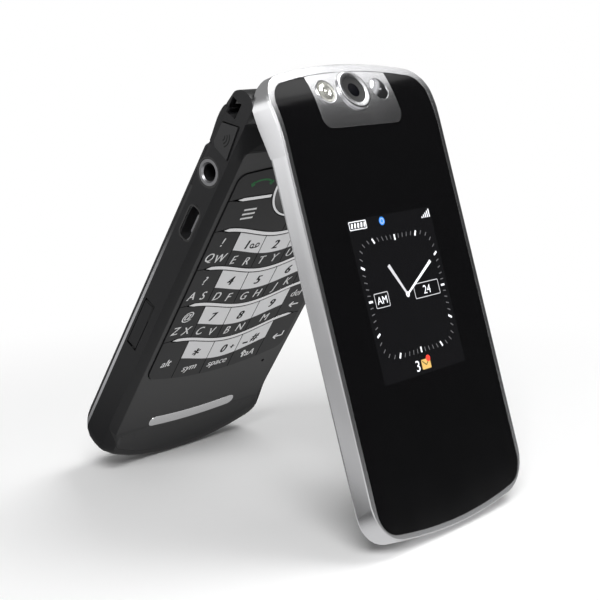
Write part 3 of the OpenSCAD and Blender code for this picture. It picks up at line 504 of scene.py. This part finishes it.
def fret_line(row, x):
    """How far down the silver fret above a row of keys is at x."""
    along = math.pi * min(abs(x) / FRET_REACH, 1)
    return FIRST_FRET + row * ROW_H + FRET_SAG * (1 + math.cos(along)) / 2


def number_field(row, column):
    x0 = (column - 1.5) * COLUMN_W + FIELD_GAP
    width = COLUMN_W - 2 * FIELD_GAP
    xs = [x0 + width * k / FIELD_STEPS for k in range(FIELD_STEPS + 1)]
    upper = [(x, fret_line(row, x) + FIELD_START) for x in xs]
    lower = [(x, fret_line(row, x) + FIELD_END + FIELD_GROWTH * row) for x in reversed(xs)]
    return upper + lower


for row, keys in enumerate(NUMBER_KEYS):
    for column, key in enumerate(keys):
        field = plate("number_field_" + key[4:], number_field(row, column),
                      KEY_TOP - 0.05, PLATE_TOP, 0.03)
        fitted(field, base_at, key + "_body", "number_plate")
print("number fields:", sum(len(keys) for keys in NUMBER_KEYS))

# %% [markdown]
# ## Legends
# The keys are printed in a slanted sans serif: white letters on the black plastic and black
# numbers on the silver. Lettering could be painted by the shader, but text made into a thin
# mesh stays sharp at any distance. Every legend rides on the key that it is printed on.

# %% Lettering
CAP_HEIGHT = 0.69       # height of a capital in Blender's own font, as a share of its size
INK = 0.01              # half of a letter's thickness
LETTER_H, LETTER_BOLD = 2.15, 0.04
NUMBER_H, NUMBER_BOLD = 2.3, 0.13


def lettering(name, words, z, height, slant=0.22, bold=0.0):
    """Words as one thin mesh, each (text, x, s) or with its own height. Bold prints it twice."""
    made = []
    for text, x, s, *own in words:
        deselect()
        bpy.ops.object.text_add()
        data = bpy.context.active_object.data
        data.body, data.shear, data.resolution_u = text, slant, 3
        data.size = (own[0] if own else height) / CAP_HEIGHT
        data.extrude = INK
        bpy.ops.object.convert(target="MESH")
        letters = bpy.context.active_object
        spots = [v.co for v in letters.data.vertices]
        middle = [(min(c[k] for c in spots) + max(c[k] for c in spots)) / 2 for k in (0, 1)]
        shifts = (-bold, 0, bold) if bold else (0,)
        made += copies(letters, [Matrix.Translation((x - middle[0] + shift, -s - middle[1], z))
                                 for shift in shifts])
    return joined(name, made)


# %% Letters and numbers
# For each key: (word, x, s) and its height where it isn't the usual one
letters = {
    "qw": [("!", -17.5, 31.1), ("Q", -19.4, 35.1), ("W", -15.9, 35.6)],
    "er": [("E", -11.4, 36.9), ("R", -7.1, 38.0)],
    "ty": [("T", -2.0, 38.5), ("Y", 2.1, 38.5)],
    "ui": [("U", 6.5, 37.8), ("I", 11.0, 36.9)],
    "op": [("O", 15.9, 35.6), ("P", 19.4, 35.1)],
    "as": [("?", -17.4, 41.6), ("A", -19.5, 45.6), ("S", -15.8, 46.1)],
    "df": [("D", -11.2, 47.2), ("F", -7.1, 48.3)],
    "gh": [("G", -2.0, 49.0), ("H", 2.2, 49.0)],
    "jk": [("J", 7.2, 48.4), ("K", 11.0, 47.1)],
    "l": [("L", 17.5, 46.0)],
    "zx": [("@", -17.5, 52.0), ("Z", -19.3, 55.7), ("X", -15.9, 56.3)],
    "cv": [("C", -11.3, 57.4), ("V", -7.1, 58.5)],
    "bn": [("B", -2.1, 59.3), ("N", 2.1, 59.3)],
    "m": [("M", 9.4, 58.0)],
    "delete": [("del", 16.8, 51.9, 2.0)],
    "alt": [("alt", -17.4, 65.8, 2.0)],
    "symbol": [("sym", -9.0, 69.7, 1.9)],
    "space": [("space", 0.0, 70.3, 1.9)],
    "shift": [("aA", 10.3, 69.3, 1.9)],
}
numbers = {
    "er": [("1", -9.4, 33.0)], "ty": [("2", 0.0, 34.4)], "ui": [("3", 9.0, 33.3)],
    "df": [("4", -9.2, 43.2)], "gh": [("5", 0.0, 44.6)], "jk": [("6", 9.0, 43.2)],
    "cv": [("7", -9.2, 53.6)], "bn": [("8", 0.0, 55.1)], "m": [("9", 9.4, 53.5)],
    "symbol": [("*", -9.2, 64.3, 3.2)], "space": [("0", 0.0, 65.5), ("+", 2.6, 65.5, 1.6)],
    "shift": [("#", 9.4, 64.3)],
}
for key, words in letters.items():
    fitted(lettering("letters_" + key, words, KEY_TOP + INK, LETTER_H, bold=LETTER_BOLD),
           base_at, "key_" + key + "_body", "white_ink_painted_glow")
for key, words in numbers.items():
    fitted(lettering("number_" + key, words, PLATE_TOP + INK, NUMBER_H, bold=NUMBER_BOLD),
           base_at, "key_" + key + "_body", "black_ink")
print("legends:", len(letters) + len(numbers))

# %% [markdown]
# ## Signs on the keys
# A few keys carry a sign: a green handset for calls, three bars for the menu, arrows for
# shift, back and enter, and two joined rings for voice mail. They are made from bent and
# straight strokes.

# %% Signs
SIGN_T = 0.02


def sign(name, outlines, low, body, finish, place=base_at):
    """Strokes of ink that lie on a face at that height."""
    strokes = [plate(name, outline, low, low + SIGN_T) for outline in outlines]
    return fitted(joined(name, strokes), place, body, finish)


sign("sign_handset", [bow(-13.9, 20.6, 5.4, 0.45, 240, 300),
                      stroke(-16.9, 15.7, -16.3, 16.6, 0.9), stroke(-10.9, 15.7, -11.5, 16.6, 0.9)],
     KEY_TOP, "key_send_body", "green_ink_painted_glow")
sign("sign_menu", [stroke(-15.6, 22.9 + 1.15 * k, -12.0, 22.9 + 1.15 * k, 0.45) for k in range(3)],
     KEY_TOP, "key_menu_body", "white_ink_painted_glow")
sign("sign_voice_mail", [bow(-7.8, 33.6, 0.5, 0.3, 0, 350), bow(-6.1, 33.6, 0.5, 0.3, 0, 350),
                         stroke(-7.8, 34.2, -6.1, 34.2, 0.28)],
     PLATE_TOP, "key_er_body", "black_ink")
sign("sign_space", [stroke(6.0, 65.4, 7.6, 65.4, 0.5)], PLATE_TOP, "key_shift_body", "black_ink")
sign("sign_shift", [stroke(8.2, 70.4, 8.2, 69.0, 0.6), stroke(7.5, 69.2, 8.2, 68.2, 0.4),
                    stroke(8.9, 69.2, 8.2, 68.2, 0.4)],
     KEY_TOP, "key_shift_body", "white_ink_painted_glow")
sign("sign_back", [stroke(16.4, 55.7, 19.4, 55.7, 0.4), stroke(16.4, 55.7, 17.5, 54.9, 0.4),
                   stroke(16.4, 55.7, 17.5, 56.5, 0.4)],
     KEY_TOP, "key_delete_body", "white_ink_painted_glow")
sign("sign_enter", [stroke(16.6, 66.0, 19.6, 66.0, 0.4), stroke(19.6, 66.0, 19.6, 64.6, 0.4),
                    stroke(16.6, 66.0, 17.7, 65.2, 0.4), stroke(16.6, 66.0, 17.7, 66.8, 0.4)],
     KEY_TOP, "key_enter_body", "white_ink_painted_glow")

# %% Sign on the side key
# The side key's face is as far out as the CAD box, so its ink lies in the face and not on it
INK_SHOWS = 0.001
side_key_x = -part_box("side_key_left")[0].x / MM
sign("sign_side_key", [bow(-1.0, 7.4, 0.8 + 0.65 * k, 0.3, -45, 45, 8) for k in range(3)],
     side_key_x + INK_SHOWS - SIGN_T, "side_key_left_body", "black_ink", base_at @ side_view)
print("side key's face at", round(side_key_x, 2), "mm")

# %% [markdown]
# ## The clock behind the window
# The outer display shows a clock. It is a dark field with sixty ticks on a rounded square,
# two tapered hands, a row of status signs, a date and a count of new messages. A real
# display lies behind the glass, but black glass shows nothing else, so the picture is laid
# on its face as a film of hundredths of a millimetre, where no reflection can hide it.

# %% Clock
WINDOW_Z, FILM_T, FILM_STEP = 8.65, 0.01, 0.012
CLOCK_X, CLOCK_S, CLOCK_R = 0.5, 42, 12.15
SQUARENESS = 6          # 2 would set the ticks on a circle
PIVOT_X, PIVOT_S = 0.4, 42.2


def film(name, outlines, layer, finish, frame_width=0):
    """Thin shapes on the window. Each layer lies over the one before it."""
    low = WINDOW_Z + FILM_STEP * layer
    shapes = [plate(name, outline, low, low + FILM_T, frame_width=frame_width)
              for outline in outlines]
    return fitted(joined(name, shapes), lid_at, "lid", finish)


def ticks(name, minutes, length, width, finish):
    """Ticks that point to the middle of the clock, one for each minute in the list."""
    low = WINDOW_Z + FILM_STEP
    tick = plate(name, stroke(0, -length, 0, 0, width), low, low + FILM_T)
    places = []
    for minute in minutes:
        turn = math.radians(6 * minute)
        sides = abs(math.cos(turn)) ** SQUARENESS + abs(math.sin(turn)) ** SQUARENESS
        reach = CLOCK_R / sides ** (1 / SQUARENESS)
        places.append(Matrix.Translation((CLOCK_X, -CLOCK_S, 0)) @ Matrix.Rotation(-turn, 4, "Z")
                      @ Matrix.Translation((0, reach - length, 0)))
    return fitted(joined(name, copies(tick, places)), lid_at, "lid", finish)


film("display_field", [rounded(-12.6, 13.6, 25.6, 58.4, 0.3)], 0, "display_dark")
ticks("clock_hour_ticks", range(0, 60, 5), 1.15, 0.42, "display_white")
ticks("clock_minute_ticks", [m for m in range(60) if m % 5], 0.9, 0.2, "display_grey")
film("clock_hour_hand", [stroke(PIVOT_X, PIVOT_S, -3.4, 35.7, 0.5, 0.85)], 2, "display_soft")
film("clock_minute_hand", [stroke(PIVOT_X, PIVOT_S, 9.9, 36.6, 0.4, 0.65)], 2, "display_white")
film("clock_pivot", [bow(PIVOT_X, PIVOT_S, 0.42, 0.3, 0, 359, 24)], 3, "display_white")
film("clock_boxes", [rounded(-9.8, -5.5, 40.6, 43.6, 0.3), rounded(2.6, 10.8, 40.5, 43.6, 0.3)],
     1, "display_soft", 0.15)
clock_words = [("AM", -7.65, 42.1, 1.5), ("24", 6.7, 42.05, 1.7), ("3", -1.7, 56.6, 2.2)]
fitted(lettering("clock_words", clock_words, WINDOW_Z + 3 * INK, LETTER_H, slant=0),
       lid_at, "lid", "display_white")

# %% Signs round the clock
RADIO_X, RADIO_S = -2.2, 26.8
film("battery_sign_edge", [rounded(-12.2, -7.0, 25.95, 27.7, 0.2)], 1, "display_white", 0.18)
film("battery_sign_bars", [stroke(-11.5 + 0.95 * k, 27.3, -11.2 + 0.95 * k, 26.35, 0.5)
                           for k in range(5)], 1, "display_white")
film("signal_sign", [stroke(10.6 + 0.62 * k, 27.7, 10.6 + 0.62 * k, 27.35 - 0.34 * k, 0.32)
                     for k in range(5)], 1, "display_white")
film("radio_sign", [bow(RADIO_X, RADIO_S, 0.45, 0.8, 0, 359, 24)], 1, "display_blue")
film("radio_sign_ring", [bow(RADIO_X, RADIO_S, 0.5, 0.14, 0, 359, 24)], 2, "display_soft")
film("message_sign", [rounded(-0.4, 2.4, 55.6, 57.6, 0.2)], 1, "display_yellow")
film("message_flap", [stroke(-0.2, 55.8, 1.0, 56.8, 0.16), stroke(2.2, 55.8, 1.0, 56.8, 0.16)],
     2, "black_ink")
film("message_dot", [bow(1.9, 55.6, 0.35, 0.65, 0, 360, 20)], 3, "display_red")
print("clock at s", CLOCK_S, "with", len(clock_words), "words and 60 ticks")

# %% [markdown]
# ## Camera and flash
# The camera looks through a polished ring, and the flash beside it is a moulded lens whose
# facets spread the light. A ring is drawn out of a circle: its edge is extruded and
# widened or narrowed step by step round a closed profile, and the ends are merged. The
# facets are the same with only a few sides and no smoothing.

# %% Rings
FRONT, BEND_START, BEND_R = 8.75, 9, 34     # the lid's front bends back above BEND_START
CAM_S, LENS_PITCH = -0.2, 8.25
cam_tilt = math.asin((BEND_START - CAM_S) / BEND_R)
cam_z = FRONT - (BEND_R - BEND_R * math.cos(cam_tilt))


def on_camera_plate(x):
    return lid_at @ Matrix.Translation((x, -CAM_S, cam_z)) @ Matrix.Rotation(-cam_tilt, 4, "X")


def turned(name, profile, sides=72, smooth=35):
    """Ring or dish through rings of (radius, height), each one drawn out of the last."""
    deselect()
    bpy.ops.mesh.primitive_circle_add(vertices=sides, radius=1)
    piece = bpy.context.active_object
    piece.name = name
    bpy.ops.object.mode_set(mode="EDIT")
    bpy.ops.mesh.select_all(action="SELECT")
    radius, height = 1, 0
    for step, (r, z) in enumerate(profile):
        if step:
            bpy.ops.mesh.extrude_edges_move()
        bpy.ops.transform.resize(value=(r / radius, r / radius, 1), center_override=(0, 0, 0))
        bpy.ops.transform.translate(value=(0, 0, z - height))
        radius, height = r, z
    bpy.ops.mesh.select_all(action="SELECT")
    bpy.ops.mesh.remove_doubles(threshold=WELD_MM)
    bpy.ops.mesh.normals_make_consistent(inside=False)
    bpy.ops.object.mode_set(mode="OBJECT")
    if smooth:
        bpy.ops.object.shade_smooth_by_angle(angle=math.radians(smooth))
    return piece


# %% Lens ring, flash and iris
ring = turned("lens_ring", [(2.95, 0.10), (2.95, 0.32), (3.05, 0.36), (3.85, 0.46), (4.12, 0.44),
                            (4.28, 0.34), (4.3, 0.15), (4.3, 0.10), (2.95, 0.10)])
fitted(ring, on_camera_plate(0), "lid", "satin_silver")
flash_rim = turned("flash_rim", [(2.35, 0.0), (2.35, 0.16), (2.42, 0.2), (2.56, 0.2), (2.64, 0.12),
                                 (2.64, 0.0), (2.35, 0.0)])
fitted(flash_rim, on_camera_plate(-LENS_PITCH), "lid", "satin_silver")
facets = turned("flash_facets", [(2.34, 0.0), (2.34, 0.14), (1.9, 0.11), (1.15, 0.30), (0.55, 0.14),
                                 (0.002, 0.30)], sides=9, smooth=0)
fitted(facets, on_camera_plate(-LENS_PITCH), "lid", "flash")
iris = turned("lens_iris", [(1.55, 0.075), (1.55, 0.10), (2.3, 0.13), (2.94, 0.22), (2.94, 0.075),
                            (1.55, 0.075)])
fitted(iris, on_camera_plate(0), "lid", "card")
print("camera plate leans", round(math.degrees(cam_tilt), 1), "degrees")

# %% [markdown]
# ## Skirt of the lid
# Where the lid turns round the hinge, its silver frame reaches down over the side of the
# base's ear and hides the bearing. It is a thin wall that follows the rounded corner of
# the lid, so we start from a grid with three rows, lay one row along the lower edge and the
# others up the side of the frame, and give the strip a thickness. It clears the base at
# every angle, because the base ends inside it.

# %% Skirt
SKIRT_T, SKIRT_SMOOTH_DEG = 0.04, 30
LEAN_START, LEAN = 5.05, 0.127      # above this z the frame's side leans inwards
FRAME_EDGE = 0.55                   # between the skirt and the lid's front
# (s, half of the lid's width there, z of the skirt's lower edge)
skirt_edge = [(-4.0, 21.07, 4.2), (-3.5, 22.02, 4.0), (-3.0, 22.67, 3.8), (-2.4, 23.31, 3.6),
              (-1.0, 24.28, 3.4), (0.0, 24.74, 3.1), (1.0, 24.98, 2.95), (2.2, 25.03, 3.05),
              (4.9, 25.03, 3.38), (6.95, 25.03, 3.8), (9.0, 25.03, 4.22), (11.5, 25.03, 4.7)]


def skirt(name, side):
    """Strip along the lid's side: -1 is left and 1 is right."""
    deselect()
    bpy.ops.mesh.primitive_grid_add(x_subdivisions=len(skirt_edge) - 1, y_subdivisions=2, size=2)
    piece = bpy.context.active_object
    piece.name = name
    rows = sorted(piece.data.vertices, key=lambda v: (round(v.co.y, 3), v.co.x))
    for k, (s, half_width, low) in enumerate(skirt_edge):
        bend = BEND_R - math.sqrt(BEND_R ** 2 - max(0, BEND_START - s) ** 2)
        top = FRONT - FRAME_EDGE - bend
        for row, z in enumerate((low, LEAN_START, top)):
            lean = LEAN * max(0, z - LEAN_START)
            rows[k + row * len(skirt_edge)].co = (side * (half_width - lean), -s, z)
    bpy.ops.object.mode_set(mode="EDIT")
    bpy.ops.mesh.select_all(action="SELECT")
    bpy.ops.mesh.solidify(thickness=SKIRT_T)
    bpy.ops.mesh.normals_make_consistent(inside=False)
    bpy.ops.object.mode_set(mode="OBJECT")
    bpy.ops.object.shade_smooth_by_angle(angle=math.radians(SKIRT_SMOOTH_DEG))
    return fitted(piece, lid_at, "lid", "satin_silver")


for name, side in (("lid_skirt_left", -1), ("lid_skirt_right", 1)):
    skirt(name, side)
print("skirt from s", skirt_edge[0][0], "to", skirt_edge[-1][0])

# %% [markdown]
# ## Details of the base's sides and back
# Below the hinge the back of the base swells between the ears and the battery cover, so
# that the thumb finds it. The swelling is a plate seen from the side, drawn out across the
# base and rounded. On the left side a thin black ring round each socket is painted shade of
# its opening, and black strokes at the edges of the card door are a painted shadow of its
# recess.

# %% Swelling
BARREL_END, BASE_SIDE = 14.2, 24.9      # half widths of the lid's hinge barrel and of the base
# (z, s) round the swelling, seen from the side
swelling = [(-2.4, 1.8), (-3.95, 1.8), (-4.25, 2.6), (-4.45, 4.0), (-4.45, 5.5), (-4.3, 7.0),
            (-4.05, 9.0), (-3.9, 10.6), (-2.4, 10.6)]
below_barrel = [(-2.4, 5.2)] + swelling[4:]
for name, outline, low, high in (("swelling_left", swelling, BARREL_END, BASE_SIDE),
                                 ("swelling_right", swelling, -BASE_SIDE, -BARREL_END),
                                 ("swelling_middle", below_barrel, -BARREL_END, BARREL_END)):
    part = plate(name, outline, low, high, bevel=0.3)
    fitted(part, base_at @ side_view, "base", "base_shell")
print("back swells to z", min(z for z, s in swelling))

# %% Dark rings and door shadow
SIDE_X, JACK_S, JACK_Z = 25.0, 16, -0.65
DARK_RING_LOW, DARK_RING_TOP = -0.1, 0.03     # from the base's side
# Black rings round the sockets: painted shade of their openings
dark_ring = turned("jack_dark_ring", [(2.78, DARK_RING_LOW), (2.78, DARK_RING_TOP), (3.15, DARK_RING_TOP),
                                (3.15, DARK_RING_LOW), (2.78, DARK_RING_LOW)])
jack_at = base_at @ side_view @ Matrix.Translation((JACK_Z, -JACK_S, SIDE_X))
fitted(dark_ring, jack_at, "base", "card")
dark_ring = plate("usb_dark_ring", rounded(-1.75, 2.2, 23.95, 32.3, 1.5), SIDE_X + DARK_RING_LOW,
               SIDE_X + DARK_RING_TOP, frame_width=0.4)
fitted(dark_ring, base_at @ side_view, "base", "card")
# Black strokes at the card door's edges: painted shadow of its recess
sign("door_painted_shadow", [stroke(-1.9, 50.9, 0.5, 50.5, 0.4), stroke(0.55, 50.4, 0.75, 54.6, 0.45),
                    stroke(-0.4, 63.1, 0.5, 62.6, 0.4)],
     SIDE_X, "base", "black_ink", base_at @ side_view)

# %% [markdown]
# ## Table
# The phone stands on white paper. Close to it the paper takes its light and shade from the
# lamps, and farther out it turns into plain white for the camera. Polished metal shows
# whatever lies beside it. For rays that come from a reflection, the paper glows with greys
# of its own: a painted reflection of light and shade on the table round the phone. Grey
# cards laid on the table would give such greys too, but they would throw shadows.

# %% Table
TABLE_SIZE = 12
SHADE_END, WHITE_START = 0.055, 0.19    # metres from the middle
deselect()
bpy.ops.mesh.primitive_plane_add(size=TABLE_SIZE, location=(0, 0, 0))
table = bpy.context.active_object
table.name = "table"
floor = Finish("table_white", Base_Color=(0.97, 0.97, 0.97), Roughness=0.9,
               Specular_IOR_Level=0.0)
finishes["table"] = floor
paint(table, "table")
rays = floor.node("LightPath", out="Is Camera Ray")
gloss = floor.node("LightPath", out="Is Glossy Ray")
reach = floor.node("VectorMath", {"operation": "LENGTH"}, {0: floor.place()}, "Value")
far = rays * reach.between(SHADE_END, WHITE_START)
to_left = floor.node("SeparateXYZ", {}, {0: floor.place()}, 0) * -1
to_back = floor.node("SeparateXYZ", {}, {0: floor.place()}, 1)
to_front = to_back * -1

# Painted reflection greys, seen only by rays from a reflection: each row is (change, where it
# starts, where it ends) in metres
painted_reflection_steps = ((0.45, 0.045, 0.09), (-0.25, 0.11, 0.18), (0.25, 0.3, 0.9), (0.45, 0.9, 3.2))
beside = 0.10 + 0.8 * to_front.between(0.042, 0.07)
for change, start, end in painted_reflection_steps:
    beside = beside + change * to_left.between(start, end)
# Darker towards the back: painted shade of the table, seen only in reflections
under = 0.68 - 0.50 * to_back.between(0.018, 0.045)
left = to_left.between(0.025, 0.045)
painted_reflection_grey = (under * (1 - left) + beside * left).maths("MINIMUM", 1)
glow = floor.node("Emission", {}, {"Color": (1, 1, 1), "Strength": rays + gloss * painted_reflection_grey},
                  "Emission")
blend = floor.node("MixShader", {}, {0: far.maths("MAXIMUM", gloss),
                                     1: Wire(floor, floor.shader.outputs[0]), 2: glow})
floor.tree.links.new(blend.socket, floor.tree.nodes["Material Output"].inputs["Surface"])
print("table:", TABLE_SIZE, "m wide,", len(floor.tree.nodes), "nodes")

# %% [markdown]
# ## Studio walls and lamps
# The walls are white for the camera, but light the phone only softly. One bright wall at
# the back left shines along the lid's silver side, and a dark corner on the right keeps the
# window black. The lamps are large, so that the shadows are soft, and two long cards on the
# right draw the grey bands in the curved end of the window.

# %% Studio walls
WALL_LEVEL, DARK_CORNER, BRIGHT_WALL = 0.28, 0.24, 1.1
TO_RIGHT, TO_BACK_LEFT = (0.733, -0.680, 0), (-0.866, 0.5, 0)
world = bpy.data.worlds.new("studio")
bpy.context.scene.world = world
world.use_nodes = True
walls = Finish("studio", world.node_tree)
seen = walls.node("LightPath", out="Is Camera Ray")
heading = walls.node("TexCoord", out="Generated")
up = walls.node("SeparateXYZ", {}, {0: heading}, 2)


def towards(direction):
    """1 where a ray heads that way, 0 where it goes across it."""
    return walls.node("VectorMath", {"operation": "DOT_PRODUCT"},
                      {0: heading, 1: direction}, "Value")


corner = towards(TO_RIGHT).between(0.25, 0.80) * (1 - up.between(0.55, 0.80))
bright = towards(TO_BACK_LEFT).between(0.80, 0.96) * (1 - up.between(0.10, 0.40))
level = WALL_LEVEL - DARK_CORNER * corner + BRIGHT_WALL * bright
walls.put(world.node_tree.nodes["Background"].inputs["Strength"], seen.maths("MAXIMUM", level))
walls.put(world.node_tree.nodes["Background"].inputs["Color"], (1, 1, 1))
print("walls:", len(world.node_tree.nodes), "nodes")


# %% Lamps
def softbox(name, place_mm, aim_mm, size_mm, level):
    """A soft lamp whose face is as bright as that level of white."""
    data = bpy.data.lights.new(name, "AREA")
    wide, high = (v * MM for v in size_mm)
    data.shape, data.size, data.size_y = "RECTANGLE", wide, high
    data.energy = level * math.pi * wide * high
    lamp = bpy.data.objects.new(name, data)
    bpy.context.scene.collection.objects.link(lamp)
    lamp.location = Vector(place_mm) * MM
    lamp.rotation_euler = (Vector(aim_mm) - Vector(place_mm)).to_track_quat("-Z", "Y").to_euler()
    return lamp


PHONE_MIDDLE, WINDOW_TOP = (0, 0, 30), (0, -18, 86)
softbox("key_softbox", (-430, -400, 600), PHONE_MIDDLE, (460, 460), 7.0)
softbox("top_softbox", (230, -150, 560), PHONE_MIDDLE, (280, 280), 6.0)
softbox("band_card", (394, -255, 472), WINDOW_TOP, (560, 64), 1.0)
softbox("thin_card", (429, -259, 441), WINDOW_TOP, (560, 16), 0.6)

# %% [markdown]
# ## Camera
# The camera stands low at the front left, at half an arm's length, and looks between the
# two halves at the keypad. A long lens keeps the upright lines nearly parallel.

# %% Camera
CAMERA_MM = (-203.33209, -192.58586, 97.25273)
CAMERA_TURN_DEG = (78.67734, 1.16302, -47.25565)
camera_data = bpy.data.cameras.new("camera")
camera = bpy.data.objects.new("camera", camera_data)
bpy.context.scene.collection.objects.link(camera)
camera_data.lens, camera_data.sensor_width = 78.9075, 36
camera_data.clip_start, camera_data.clip_end = 0.01, 20
camera.location = Vector(CAMERA_MM) * MM
camera.rotation_euler = [math.radians(angle) for angle in CAMERA_TURN_DEG]
bpy.context.scene.camera = camera
bpy.context.scene.view_settings.view_transform = "Standard"
print("camera is", round(camera.location.length / MM), "mm from the phone's middle")
